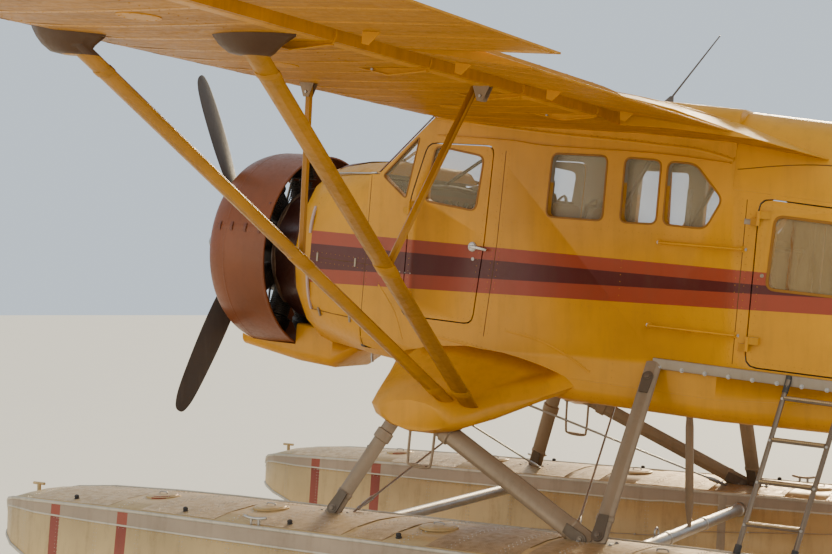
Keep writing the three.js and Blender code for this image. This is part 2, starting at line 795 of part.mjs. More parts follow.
// Tailplane on top of the tail cone, elevators on a shaft line behind it
const tailHalfSpan = 2300;
const elevatorX = -8720;
const tailplaneZ = 330;
// Columns: y, nose set back, thickness against the root
const tailTable = [
  [90, 0, 1],
  [1500, -40, 0.9],
  [2050, -160, 0.7],
  [2240, -320, 0.45],
  [tailHalfSpan, -460, 0.25],
];
const tailplaneRing = (y, back, k) => {
  const nose = -7820 + back;
  const rear = elevatorX + 50;
  const outline = [
    [nose, 0],
    [nose - 40, 24],
    [nose - 200, 42],
    [rear, 32],
    [rear, -32],
    [nose - 200, -42],
    [nose - 40, -24],
  ];
  return outline.map(([x, z]) => vec(x, y, tailplaneZ + z * k));
};
const elevatorStations = [420, 1300, 2000];
const elevatorPoint = (y) => vec(elevatorX, y, tailplaneZ);
const tailHalf = join(
  cut(loft(tailTable.map((row) => tailplaneRing(...row))), hull(rearSections, gap)),
  ...elevatorStations.map((y) =>
    hingeArm(vec(elevatorX + 70, y, tailplaneZ), elevatorPoint(y), armWidth, 16),
  ),
);
// Columns: y, nose radius, chord behind the hinge
const elevatorTable = [
  [128, 30, 180],
  [400, 30, 420],
  [1500, 27, 430],
  [2050, 20, 360],
  [2260, 12, 160],
];
const elevatorHalf = cut(
  loft(elevatorTable.map(([y, r, length]) => surfaceRing(y, elevatorX, tailplaneZ, r, length, 0, 3))),
  ...elevatorStations.map((y) => hingeSlot(elevatorPoint(y), armWidth, 200, 20, 100)),
);

// Ventral fin, fitted with the floats, below the tail cone
// Columns: height, nose x, thickness
const ventralTable = [
  [-700, -7880, 20],
  [-500, -7800, 30],
  [300, -7350, 40],
];
const ventralFin = cut(
  loft(ventralTable.map(([z, nose, thick]) => verticalRing(z, nose, -8700, thick))),
  hull(rearSections, gap),
);

// The stub on each side that carries the float struts below and the wing struts above.
// Columns: y, front, rear, top, bottom
const stubTable = [
  [560, -1770, -3180, -390, -700],
  [800, -1850, -2960, -510, -820],
  [1000, -1900, -2780, -620, -925],
  [1130, -1950, -2680, -690, -960],
  [1190, -2060, -2560, -760, -940],
];
const stubRing = ([y, front, rear, top, bottom]) =>
  Array.from({ length: 14 }, (_, i) => {
    const t = (2 * Math.PI * i) / 14;
    const slim = Math.cos(t) < 0 ? 1 + 0.3 * Math.cos(t) : 1;
    const x = (front + rear + Math.cos(t) * (front - rear)) / 2;
    const z = (top + bottom + Math.sin(t) * slim * (top - bottom)) / 2;
    return vec(x, y, z);
  });
const gearStub = cut(loft(stubTable.map(stubRing)), hull(lowerSections, gap));

const frontStrutFoot = vec(-2470, 1090, -760);
const rearStrutFoot = vec(-2606, 1092, -752);
// Keel-shaped fairing round a strut's upper end, round ahead and pointed behind.
// Columns: height above the strut's mark, reach ahead and behind from its own middle, half width
const fairingTable = [
  [-26, 75, 50, 42],
  [-14, 148, 80, 55],
  [14, 187, 125, 64],
  [45, 208, 200, 68],
  [75, 218, 222, 69],
  [130, 222, 224, 70],
];
function strutFairing(middleX, mark) {
  const ring = ([height, ahead, behind, half]) =>
    Array.from({ length: 14 }, (_, i) => {
      const t = (2 * Math.PI * i) / 14;
      const fore = Math.cos(t);
      const x = middleX + fore * (fore > 0 ? ahead : behind);
      const y = mark.y + height / 2 + Math.sin(t) * half * (fore > 0 ? 1 : 1 + 0.45 * fore);
      return vec(x, y, mark.z + height);
    });
  return loft(fairingTable.map(ring));
}
function wingStrut(footPoint, markX, fairingX, juryX) {
  const mark = vec(markX, strutTop.y, strutTop.z);
  const run = mark.clone().sub(footPoint);
  const top = footPoint.clone().addScaledVector(run, 1.012);
  const low = footPoint.clone().addScaledVector(run, (juryTop.y - footPoint.y) / run.y);
  const high = vec(juryX, juryTop.y, wingMidZ(juryX, juryTop.y));
  return cut(
    join(strut(footPoint, top, 118, 54, 10), strutFairing(fairingX, mark), strut(low, high, 46, 26, 6)),
    moved(wingWhole, 0, 0, -gap),
    moved(gearStub, 0, 0, gap),
  );
}
const frontWingStrut = wingStrut(frontStrutFoot, strutTop.frontX, -2100, juryTop.frontX);
const rearWingStrut = wingStrut(rearStrutFoot, strutTop.rearX, -3100, juryTop.rearX);

// Aerial mast raked aft on the centre section
const aerial = cut(
  join(
    loft([
      level(-3272, -3120, 0, 5, 1060),
      level(-3250, -3160, 0, 4, 1130),
      level(-3248, -3226, 0, 3, 1190),
    ]),
    rod(vec(-3232, 0, 1176), vec(-3512, 0, 1562), 6.5, 8, 4),
  ),
  centreSection,
  moved(centreSection, 0, 0, gap),
);

// Seats: two chairs ahead, a bench across behind them
const seatY = 310;
const chair = (y) =>
  join(
    box(-2560, -2050, y - 220, y + 220, -330, -210),
    loft([level(-2590, -2480, y, 215, -215), level(-2730, -2640, y, 190, 520)]),
    box(-2500, -2110, y - 180, y + 180, floorTopZ, -320),
  );
const bench = join(
  box(-3860, -3380, -560, 560, -300, -170),
  loft([level(-3880, -3780, 0, 560, -180), level(-3960, -3880, 0, 560, 330)]),
  box(-3800, -3440, -520, 520, floorTopZ, -290),
);

// Floats, in the level frame
const sternX = 7770; // behind the bow
// Columns: x behind the bow, half beam at the chine, keel, chine, half deck, deck edge, crown
const floatTable = [
  [0, 130, 540, 580, 120, 650, 656],
  [40, 185, 500, 572, 172, 745, 752],
  [92, 235, 462, 560, 222, 822, 834],
  [230, 320, 365, 530, 295, 848, 872],
  [520, 410, 225, 465, 370, 864, 898],
  [1070, 460, 90, 415, 405, 876, 912],
  [1570, 478, 22, 396, 415, 880, 918],
  [1970, 482, 0, 390, 418, 880, 920],
  [3720, 482, 0, 390, 418, 880, 920],
  [3721, 478, 95, 430, 418, 880, 920],
  [5120, 440, 275, 515, 400, 878, 912],
  [6520, 300, 470, 620, 275, 864, 888],
  [sternX, 95, 690, 725, 88, 838, 846],
];
const keelHalf = 14;
const floatRing = ([x, beam, keel, chine, deck, edge, crown]) => {
  const half = [
    [keelHalf, keel],
    [beam * 0.55, keel + (chine - keel) * 0.62],
    [beam, chine],
    [beam - 6, chine + 30],
    [deck, edge],
    [deck * 0.5, crown - (crown - edge) * 0.25],
  ];
  return [
    ...half.map(([y, z]) => vec(bowX - x, floatSpacing + y, z)),
    vec(bowX - x, floatSpacing, crown),
    ...half.reverse().map(([y, z]) => vec(bowX - x, floatSpacing - y, z)),
  ];
};
const fittingBlock = ({ x, y, z }) => box(x - 70, x + 70, y - 45, y + 45, deckHeight - 40, z + 8);
const bollard = (x) =>
  join(
    rod(vec(x, floatSpacing, 790), vec(x, floatSpacing, 908), 14, 10),
    rod(vec(x - 52, floatSpacing, 900), vec(x + 52, floatSpacing, 900), 10, 8),
  );
const waterRudderX = bowX - sternX - 62;
const transomFork = join(
  ...[770, 712].map((z) =>
    join(
      rod(vec(waterRudderX, floatSpacing, z), vec(waterRudderX, floatSpacing, z + 12), 16, 10),
      box(waterRudderX, bowX - sternX + 10, floatSpacing - 16, floatSpacing + 16, z, z + 12),
    ),
  ),
);
// Columns: height, chord, thickness
const waterBladeTable = [
  [765, 60, 20],
  [725, 150, 14],
  [560, 330, 10],
  [330, 360, 8],
  [230, 250, 6],
];
const waterBladeX = waterRudderX - 24;
const waterRudder = join(
  rod(vec(waterRudderX, floatSpacing, 724 + gap), vec(waterRudderX, floatSpacing, 770 - gap), 16, 10),
  box(waterRudderX - 40, waterRudderX, floatSpacing - 7, floatSpacing + 7, 728, 766),
  loft(
    waterBladeTable.map(([z, length, thick]) => [
      vec(waterBladeX, floatSpacing - thick / 2, z),
      vec(waterBladeX - length, floatSpacing - thick / 4, z),
      vec(waterBladeX - length, floatSpacing + thick / 4, z),
      vec(waterBladeX, floatSpacing + thick / 2, z),
    ]),
  ),
);
const floatPort = join(
  loft(floatTable.map(floatRing)),
  fittingBlock(frontFitting),
  fittingBlock(rearFitting),
  bollard(bowX - 150),
  transomFork,
);

// Places given in the fuselage's frame, taken to the level frame, and back
const place = new THREE.Matrix4()
  .makeRotationY(-noseUp)
  .premultiply(new THREE.Matrix4().makeTranslation(hub.x, 0, hub.z));
const toLevel = (point) => point.clone().applyMatrix4(place);
const levelled = (geometry) => geometry.clone().applyMatrix4(place);

// Float struts and the bars between the floats, in the level frame
const stubLow = toLevel(vec(-2100, 1060, -880));
const stubLowRear = toLevel(vec(-2330, 1050, -880));
const bodyLow = toLevel(vec(-3560, 690, -400));
const frontFoot = vec(frontFitting.x, frontFitting.y, frontFitting.z);
const rearFoot = vec(rearFitting.x, rearFitting.y, rearFitting.z);
const levelStub = levelled(gearStub);
const seated = (geometry, ...neighbours) =>
  cut(geometry, ...neighbours.flatMap((n) => [n, moved(n, 0, 0, -gap), moved(n, 0, 0, gap)]));
const frontFloatStrut = seated(strut(frontFoot, stubLow, 105, 48), levelStub, floatPort);
const rearFloatStrut = seated(strut(rearFoot, bodyLow, 100, 46), floatPort, levelled(sidePort));
const diagonalStrut = seated(
  strut(vec(rearFoot.x + 40, rearFoot.y, rearFoot.z), stubLowRear, 115, 52),
  levelStub,
  floatPort,
  frontFloatStrut,
  rearFloatStrut,
  moved(rearFloatStrut, gap, 0, 0),
  moved(frontFloatStrut, -gap, 0, 0),
);
const barZ = deckHeight - 95;
const spreader = (x) =>
  cut(
    rod(vec(x, -floatSpacing, barZ), vec(x, floatSpacing, barZ), 38, 12),
    floatPort, mirrored(floatPort),
    moved(floatPort, 0, -gap, 0), moved(mirrored(floatPort), 0, gap, 0),
  );
const frontSpreader = spreader(frontFitting.x);
const rearSpreader = spreader(rearFitting.x);
const centreStrut = seated(
  join(
    rod(vec(rearFitting.x - 20, 0, barZ + 20), vec(rearFitting.x - 20, 0, barZ + 150), 10, 12, 26),
    rod(vec(rearFitting.x - 20, 0, barZ + 150), vec(rearFitting.x - 20, 0, 1420), 26, 12),
    rod(vec(rearFitting.x - 20, 0, 1420), vec(rearFitting.x - 20, 0, 1640), 26, 12, 10),
  ),
  rearSpreader,
  levelled(floorSlab),
);

// Crossed stays: from each float's fitting to the other side's stub. The two of a pair pass each other clear
const stayRadius = 7;
const stayFootInset = 60;
const stayApart = 12;
const stay = (foot, head, shift) =>
  seated(
    moved(rod(foot, head, stayRadius, 8), shift, 0, 0),
    floatPort,
    mirrored(floatPort),
    levelStub,
    mirrored(levelStub),
  );
const stayFootZ = deckHeight + 10;
const frontStayEnds = [
  vec(frontFitting.x - 95, frontFitting.y - stayFootInset, stayFootZ),
  vec(frontFitting.x - 250, -860, deckHeight + 780),
];
const rearStayEnds = [
  vec(rearFitting.x + 160, rearFitting.y - stayFootInset, stayFootZ),
  vec(frontFitting.x - 930, -900, deckHeight + 760),
];

// Boarding ladder that leans on the port rail and stands on the float's deck
const stileRadius = 14;
const stileTop = [toLevel(vec(-4340, 706, -392)), toLevel(vec(-4640, 697, -392))];
const stileFootX = [frontFitting.x - 2400, frontFitting.x - 2700];
const stileFoot = stileFootX.map((x) => vec(x, 1018, deckHeight - 10));
const rungCount = 4;
const rung = (k) => {
  const share = (k + 0.75) / (rungCount + 0.2);
  const [front, rear] = [0, 1].map((i) => stileFoot[i].clone().lerp(stileTop[i], share));
  return rod(front, rear, 12, 6);
};
const ladder = cut(
  join(
    ...[0, 1].map((i) => rod(stileFoot[i], stileTop[i], stileRadius, 8)),
    ...Array.from({ length: rungCount }, (_, k) => rung(k)),
  ),
  floatPort,
  moved(floatPort, 0, 0, gap),
  levelled(sidePort),
  moved(levelled(sidePort), 0, gap, 0),
);

// The scene: one level group, with the fuselage's group turned and lifted inside it
const floatplane = new THREE.Group();
const airframe = new THREE.Group();
airframe.rotation.y = -noseUp;
airframe.position.set(hub.x, 0, hub.z);
floatplane.add(airframe);

function add(group, name, geometry, material) {
  const mesh = new THREE.Mesh(geometry, material);
  mesh.name = name;
  group.add(mesh);
}

function addPair(group, name, port, material, starboard = mirrored(port)) {
  add(group, name + "_port", port, material);
  add(group, name + "_starboard", starboard, material);
}

addPair(airframe, "cabin_side", sidePort, yellow);
add(airframe, "cabin_floor", floorSlab, yellow);
add(airframe, "centre_section", centreSection, yellow);
add(airframe, "firewall", firewall, grey);
add(airframe, "rear_fuselage", rearFuselage, yellow);
add(airframe, "nose_section", noseSection, yellow);
add(airframe, "windshield_glass", windshield, glass);
addPair(airframe, "strip_glass", stripGlass, glass);
addPair(airframe, "cockpit_door", cockpitDoorPort, yellow);
addPair(airframe, "cabin_door", cabinDoorPort, yellow);
addPair(airframe, "wing", wingPort, yellow);
addPair(airframe, "flap", flapPort, yellow);
addPair(airframe, "aileron", aileronPort, yellow);
addPair(airframe, "wing_strut_front", frontWingStrut, yellow);
addPair(airframe, "wing_strut_rear", rearWingStrut, yellow);
addPair(airframe, "gear_stub", gearStub, yellow);
add(airframe, "cowl_ring", cowl, red);
add(airframe, "engine", engine, steel);
add(airframe, "chin_scoop", chinScoop, yellow);
add(airframe, "exhaust_pipe", exhaust, steel);
add(airframe, "propeller", propeller, dark);
add(airframe, "tail_fin", tailFin, yellow);
add(airframe, "rudder", rudder, yellow);
addPair(airframe, "tailplane", tailHalf, yellow);
addPair(airframe, "elevator", elevatorHalf, yellow);
add(airframe, "ventral_fin", ventralFin, yellow);
add(airframe, "aerial_mast", aerial, dark);
add(airframe, "pilot_seat", chair(seatY), cloth);
add(airframe, "copilot_seat", chair(-seatY), cloth);
add(airframe, "cabin_bench", bench, cloth);
addPair(floatplane, "float", floatPort, aluminium);
addPair(floatplane, "float_strut_front", frontFloatStrut, grey);
addPair(floatplane, "float_strut_diagonal", diagonalStrut, grey);
addPair(floatplane, "float_strut_rear", rearFloatStrut, grey);
add(floatplane, "spreader_front", frontSpreader, aluminium);
add(floatplane, "spreader_rear", rearSpreader, aluminium);
add(floatplane, "centre_strut", centreStrut, grey);
for (const [name, ends] of [["stay_front", frontStayEnds], ["stay_rear", rearStayEnds]])
  addPair(floatplane, name, stay(...ends, stayApart), steel, mirrored(stay(...ends, -stayApart)));
add(floatplane, "ladder", ladder, aluminium);
addPair(floatplane, "water_rudder", waterRudder, aluminium);

export default floatplane;
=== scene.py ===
import json
import math

import bpy
import bmesh
import numpy as np
from mathutils import Matrix, Vector

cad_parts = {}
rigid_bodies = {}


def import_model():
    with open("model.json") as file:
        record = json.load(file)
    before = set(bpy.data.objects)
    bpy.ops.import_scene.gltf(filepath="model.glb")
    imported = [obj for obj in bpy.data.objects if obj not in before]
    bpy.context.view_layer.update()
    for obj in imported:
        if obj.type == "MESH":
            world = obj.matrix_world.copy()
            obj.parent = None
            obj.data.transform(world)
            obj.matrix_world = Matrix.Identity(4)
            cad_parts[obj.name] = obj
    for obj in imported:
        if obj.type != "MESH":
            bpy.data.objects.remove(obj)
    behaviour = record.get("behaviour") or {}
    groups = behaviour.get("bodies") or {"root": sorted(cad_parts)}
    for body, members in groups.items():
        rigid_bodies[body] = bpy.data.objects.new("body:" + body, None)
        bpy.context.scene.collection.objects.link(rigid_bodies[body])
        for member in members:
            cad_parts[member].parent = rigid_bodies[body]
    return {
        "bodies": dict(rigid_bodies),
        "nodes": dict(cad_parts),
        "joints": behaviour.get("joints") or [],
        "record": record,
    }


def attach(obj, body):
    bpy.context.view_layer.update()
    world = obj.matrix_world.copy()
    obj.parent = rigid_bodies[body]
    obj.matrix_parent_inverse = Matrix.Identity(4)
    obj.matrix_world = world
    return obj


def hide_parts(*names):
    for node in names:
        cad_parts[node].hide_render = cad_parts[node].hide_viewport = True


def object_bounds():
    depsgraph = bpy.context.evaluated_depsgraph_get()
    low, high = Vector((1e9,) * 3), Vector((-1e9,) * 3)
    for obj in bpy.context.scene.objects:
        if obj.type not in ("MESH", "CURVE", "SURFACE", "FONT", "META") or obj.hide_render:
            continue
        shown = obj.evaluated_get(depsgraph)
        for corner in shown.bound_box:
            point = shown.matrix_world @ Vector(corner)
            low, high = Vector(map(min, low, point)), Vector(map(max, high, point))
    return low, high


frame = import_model()
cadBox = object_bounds()
nodes = frame["nodes"]
joints = {joint["name"]: joint for joint in frame["joints"]}
slotOf = {row["node"]: row["material_slot"] for row in frame["record"]["subparts"]}
bodyOf = {name: body for body, names in frame["record"]["behaviour"]["bodies"].items() for name in names}
print("frame:", len(nodes), "CAD nodes")

# Fuselage frame: origin at the propeller hub, x forward along the shaft, y to port, z up
hub = np.array(joints["propeller_spin"]["pos_m"])
fore = np.array(joints["propeller_spin"]["axis"])
noseUp = math.atan2(fore[2], fore[0])
turn = np.array([[fore[0], 0, fore[2]], [0, 1, 0], [-fore[2], 0, fore[0]]])
bowX = cadBox[1].x  # the floats' bows are the foremost points
floatY = 1.4
fittingX = {"front": 2.61745, "rear": 0.88545}  # the float struts' feet


def floats(values):
    return np.asarray(values, float)


def xyz(x, y, z):  # points from coordinates, single ones spread over the rest
    return np.stack(np.broadcast_arrays(x, y, z), -1)


def fus(points):  # fuselage frame to the model's frame
    return floats(points) @ turn + hub


# Camera at the photo's viewing angle

view = {"place": (-2.21655, 8.006, 2.29), "lens": 59.33, "heading": 0.565, "pitch": 0.005, "roll": 0.006}


def addCamera():
    c, s = math.cos(view["heading"]), math.sin(view["heading"])
    ahead, right, up = Vector((s, -c, 0)), Vector((-c, -s, 0)), Vector((0, 0, 1))
    tilted = ahead * math.cos(view["pitch"]) + up * math.sin(view["pitch"])
    up = up * math.cos(view["pitch"]) - ahead * math.sin(view["pitch"])
    across = right * math.cos(view["roll"]) + up * math.sin(view["roll"])
    up = up * math.cos(view["roll"]) - right * math.sin(view["roll"])
    camera = bpy.data.objects.new("camera", bpy.data.cameras.new("camera"))
    bpy.context.scene.collection.objects.link(camera)
    camera.data.lens = view["lens"]
    camera.data.sensor_width = 36
    camera.data.clip_end = 300
    turned = Matrix((across, up, -tilted)).transposed()
    camera.matrix_world = Matrix.Translation(view["place"]) @ turned.to_4x4()
    bpy.context.scene.camera = camera


addCamera()

# Soft studio: a low warm sun from behind, broad fills before it, a pale sky and a pale floor

studio = {
    "sky": (0.74, 0.85, 0.95),
    "skyStrength": 0.98,
    "floor": (0.95, 0.87, 0.72),
    # the sun's place, spread in degrees, strength and colour
    "sun": ((3.0, -14.0, 4.6), 14, 4.8, (1.0, 0.8, 0.5)),
    # place, aim, size, power, colour
    "lamps": [
        ((-8, 13, 10), (0, 0, 1.8), 13, 820, (1.0, 0.9, 0.72)),
        ((10, 12, 3), (3, 0, 1.6), 10, 540, (1.0, 0.88, 0.66)),
    ],
}


def addStudio():
    world = bpy.data.worlds.new("studio")
    world.use_nodes = True
    background = world.node_tree.nodes["Background"]
    background.inputs["Color"].default_value = (*studio["sky"], 1)
    background.inputs["Strength"].default_value = studio["skyStrength"]
    bpy.context.scene.world = world
    place, spread, strength, colour = studio["sun"]
    light = bpy.data.lights.new("sun", "SUN")
    light.angle = math.radians(spread)
    light.energy = strength
    light.color = colour
    aimLamp(light, place, (0, 0, 0))
    for i, (place, aim, size, power, colour) in enumerate(studio["lamps"]):
        light = bpy.data.lights.new(f"lamp{i}", "AREA")
        light.size = size
        light.energy = power
        light.color = colour
        aimLamp(light, place, aim)


def aimLamp(light, place, aim):
    lamp = bpy.data.objects.new(light.name, light)
    bpy.context.scene.collection.objects.link(lamp)
    lamp.location = place
    lamp.rotation_euler = (Vector(aim) - Vector(place)).to_track_quat("-Z", "Y").to_euler()


addStudio()
print("camera and studio ready")

# Material nodes


def newMaterial(name):
    material = bpy.data.materials.new(name)
    material.use_nodes = True
    return material, material.node_tree, material.node_tree.nodes["Principled BSDF"]


def feed(node, inputs):  # links each input to a socket, or sets it to a value
    for key, value in inputs.items():
        if isinstance(value, bpy.types.NodeSocket):
            node.id_data.links.new(value, node.inputs[key])
        else:
            node.inputs[key].default_value = value


def put(tree, kind, inputs=None, **settings):  # adds a node
    made = tree.nodes.new("ShaderNode" + kind)
    for key, value in settings.items():
        setattr(made, key, value)
    feed(made, inputs or {})
    return made


def calc(tree, operation, *values, clamp=False):  # the result of a Math node
    return put(tree, "Math", dict(enumerate(values)), operation=operation, use_clamp=clamp).outputs[0]


def times(tree, a, b):
    return calc(tree, "MULTIPLY", a, b)


def blendColour(tree, share, *colours):  # from the first colour to the second by the share
    made = put(tree, "Mix", {0: share}, data_type="RGBA", clamp_factor=True)
    for key, value in zip((6, 7), colours):
        feed(made, {key: value if isinstance(value, bpy.types.NodeSocket) else (*value, 1)})
    return made.outputs[2]


def noise(tree, place, scale, stretch=(1, 1, 1), detail=3, roughness=0.55):
    at = put(tree, "Mapping", {"Vector": place, "Scale": stretch}).outputs[0]
    return put(tree, "TexNoise", {"Vector": at, "Scale": scale, "Detail": detail,
                                  "Roughness": roughness}).outputs[0]


# Low to high becomes newLow to newHigh, clamped
def remap(tree, value, low, high, newLow=0.0, newHigh=1.0):
    made = put(tree, "MapRange", {0: value, 1: low, 2: high, 3: newLow, 4: newHigh}, clamp=True)
    return made.outputs[0]


def between(tree, value, low, high, soft=0.002):  # 1 where the value lies from low to high
    up = calc(tree, "DIVIDE", calc(tree, "SUBTRACT", value, low), soft, clamp=True)
    down = calc(tree, "DIVIDE", calc(tree, "SUBTRACT", high, value), soft, clamp=True)
    return times(tree, up, down)


def objectPlace(tree):
    return put(tree, "TexCoord").outputs["Object"]


def fuselagePlace(tree):  # the same point in the fuselage frame
    made = put(tree, "Mapping", {"Vector": objectPlace(tree)}, vector_type="TEXTURE")
    made.inputs["Location"].default_value = hub
    made.inputs["Rotation"].default_value = (0, -noseUp, 0)
    return made.outputs[0]


def apart(tree, vector):
    made = put(tree, "SeparateXYZ", {0: vector})
    return made.outputs[0], made.outputs[1], made.outputs[2]


def bump(tree, layers):  # layers: height socket, distance in metres
    normal = None
    for height, distance in layers:
        inputs = {"Height": height, "Distance": distance, "Strength": 1.0}
        if normal:
            inputs["Normal"] = normal
        normal = put(tree, "Bump", inputs).outputs[0]
    return normal


# Finish of a painted surface: faded patches, grime that runs down, worn gloss, a faint orange peel and ripple
def paintFinish(name, colour, roughness=0.4, fade=0.14, grime=0.3, ripple=0.0012, metallic=0.0, coat=0.06,
                grimeColour=(0.1, 0.065, 0.03), overlay=None):
    material, tree, shader = newMaterial(name)
    place = objectPlace(tree)
    patches = noise(tree, place, 1.6, detail=4)
    pale = tuple(min(1, v * (1 + fade)) for v in colour)
    deep = tuple(v * (1 - fade) for v in colour)
    shade = blendColour(tree, remap(tree, patches, 0.32, 0.68), deep, pale)
    if overlay:
        shade = overlay(tree, shade)
    runs = noise(tree, place, 5.5, (2.6, 2.6, 0.35), detail=6, roughness=0.65)
    dust = noise(tree, place, 38, detail=5, roughness=0.7)
    dirt = times(tree, remap(tree, runs, 0.48, 0.8, 0, grime), remap(tree, dust, 0.3, 0.65, 0.35, 1))
    shade = blendColour(tree, dirt, shade, grimeColour)
    rough = calc(tree, "ADD", remap(tree, dust, 0.3, 0.7, roughness * 0.8, roughness * 1.25),
                 times(tree, dirt, 0.5))
    peel = noise(tree, place, 260, detail=1)
    wave = noise(tree, place, 3.1, detail=2)
    feed(shader, {"Base Color": shade, "Roughness": rough, "Metallic": metallic, "Coat Weight": coat,
                  "Coat Roughness": 0.12, "Specular IOR Level": 0.3,
                  "Normal": bump(tree, [(wave, ripple), (peel, 0.00012)])})
    return material


# Stripes on the fuselage sides, which taper towards the tail, painted shade on the nose bay behind the cowl,
# and the cabin's lining on inner faces
stripes = {
    "red": (0.3, 0.05, 0.02),
    "dark": (0.085, 0.014, 0.012),
    "frontX": -1.035,
    "bayX": -0.87,
    # painted shade for the recess behind the cowl
    "bay": (0.055, 0.014, 0.008),
    "refX": -2.36,
    # edge heights at refX from the top down, and their slopes aft
    "edges": [(0.17, 0.0), (0.09, -0.0055), (-0.03, -0.044), (-0.12, -0.044)],
    "lining": (0.27, 0.235, 0.18),
}


def stripeOverlay(tree, shade):
    x, y, z = apart(tree, fuselagePlace(tree))
    away = calc(tree, "SUBTRACT", x, stripes["refX"])
    edges = [calc(tree, "MULTIPLY_ADD", away, slope, height) for height, slope in stripes["edges"]]
    aft = calc(tree, "LESS_THAN", x, stripes["frontX"])
    red = times(tree, between(tree, z, edges[3], edges[0]), aft)
    dark = times(tree, between(tree, z, edges[2], edges[1]), aft)
    shade = blendColour(tree, red, shade, stripes["red"])
    shade = blendColour(tree, dark, shade, stripes["dark"])
    # painted shade: the skin ahead of bayX, in the gap behind the cowl, is painted near black
    shade = blendColour(tree, calc(tree, "GREATER_THAN", x, stripes["bayX"]), shade, stripes["bay"])
    facing = apart(tree, put(tree, "TexCoord").outputs["Normal"])
    outward = calc(tree, "ADD", times(tree, facing[1], y),
                   times(tree, facing[2], calc(tree, "SUBTRACT", z, 0.2)))
    inner = calc(tree, "LESS_THAN", outward, -0.05)
    return blendColour(tree, inner, shade, stripes["lining"])


# Bands across the floats, and a waterline stain below
floatMarks = {
    "band": (0.26, 0.055, 0.03),
    "bandX": (1.841, 1.227),  # in front of the front struts' feet
    "bandHalf": 0.045,
    "stain": (0.3, 0.22, 0.12),
}


def floatOverlay(tree, shade):
    x, _, z = apart(tree, objectPlace(tree))
    facing = apart(tree, put(tree, "TexCoord").outputs["Normal"])
    side = calc(tree, "LESS_THAN", calc(tree, "ABSOLUTE", facing[2]), 0.75)
    for bandX in floatMarks["bandX"]:
        middle = fittingX["front"] + bandX
        band = between(tree, x, middle - floatMarks["bandHalf"], middle + floatMarks["bandHalf"])
        shade = blendColour(tree, times(tree, band, side), shade, floatMarks["band"])
    low = remap(tree, calc(tree, "ADD", z, times(tree, noise(tree, objectPlace(tree), 7), 0.14)),
                0.34, 0.52, 0.5, 0.0)
    return blendColour(tree, low, shade, floatMarks["stain"])


# Painted shade: the fairings at the wing struts' heads, in the shade under the wing, are painted darker than
# the struts
fairing = {"colour": (0.058, 0.021, 0.002), "z": 0.885, "y": (3.6, 4.1)}


def fairingShadeOverlay(tree, shade):
    _, y, z = apart(tree, fuselagePlace(tree))
    over = calc(tree, "GREATER_THAN", z, fairing["z"])
    share = times(tree, over, between(tree, calc(tree, "ABSOLUTE", y), *fairing["y"]))
    # painted shade blended over the struts' heads just below the wing
    return blendColour(tree, share, shade, fairing["colour"])


# Wings: the underside painted darker as painted shade, and chordwise streaks of a deeper yellow there, part
# stain and part painted shade
wingShadeMarks = {"streak": (0.25, 0.095, 0.0008), "share": 0.8, "shaded": (0.44, 0.185, 0.001), "under": 0.75}


def wingShadeOverlay(tree, shade):
    place = fuselagePlace(tree)
    streaks = noise(tree, place, 7, (0.35, 4.5, 1), detail=6, roughness=0.7)
    patches = noise(tree, place, 1.1, detail=3)
    under = remap(tree, apart(tree, put(tree, "TexCoord").outputs["Normal"])[2], 0.1, -0.4)
    # painted shade: faces that point down are blended towards a darker yellow
    shade = blendColour(tree, times(tree, under, wingShadeMarks["under"]), shade, wingShadeMarks["shaded"])
    # streaks on the underside, part stain and part painted shade
    share = times(tree, remap(tree, streaks, 0.42, 0.6, 0, wingShadeMarks["share"]), under)
    share = times(tree, share, remap(tree, patches, 0.3, 0.6, 0.45, 1.0))
    return blendColour(tree, share, shade, wingShadeMarks["streak"])


# Metal: long scratches, handling marks and a dull film
def metalFinish(name, colour, roughness=0.38, film=(0.22, 0.19, 0.16), filmShare=0.35, metallic=0.9,
                scratch=120):
    material, tree, shader = newMaterial(name)
    place = objectPlace(tree)
    clouds = noise(tree, place, 7, detail=5, roughness=0.65)
    marks = noise(tree, place, scratch, (1, 1, 0.12), detail=3)
    shade = blendColour(tree, remap(tree, clouds, 0.42, 0.72, 0, filmShare), colour, film)
    shade = blendColour(tree, remap(tree, marks, 0.55, 0.75, 0, 0.18), shade, tuple(v * 0.6 for v in colour))
    feed(shader, {"Base Color": shade, "Metallic": metallic,
                  "Roughness": remap(tree, marks, 0.3, 0.7, roughness * 0.75, roughness * 1.4),
                  "Normal": bump(tree, [(clouds, 0.0004), (marks, 0.00008)])})
    return material


# Rubber and matt dark coatings with a pale dusty bloom
def matteFinish(name, colour, roughness=0.7, bloom=(0.16, 0.14, 0.12), grain=90):
    material, tree, shader = newMaterial(name)
    place = objectPlace(tree)
    dust = noise(tree, place, 12, detail=6, roughness=0.7)
    fine = noise(tree, place, grain, detail=2)
    feed(shader, {"Base Color": blendColour(tree, remap(tree, dust, 0.45, 0.8, 0, 0.5), colour, bloom),
                  "Roughness": remap(tree, fine, 0.3, 0.7, roughness * 0.85, min(1, roughness * 1.15)),
                  "Normal": bump(tree, [(fine, 0.0002)])})
    return material


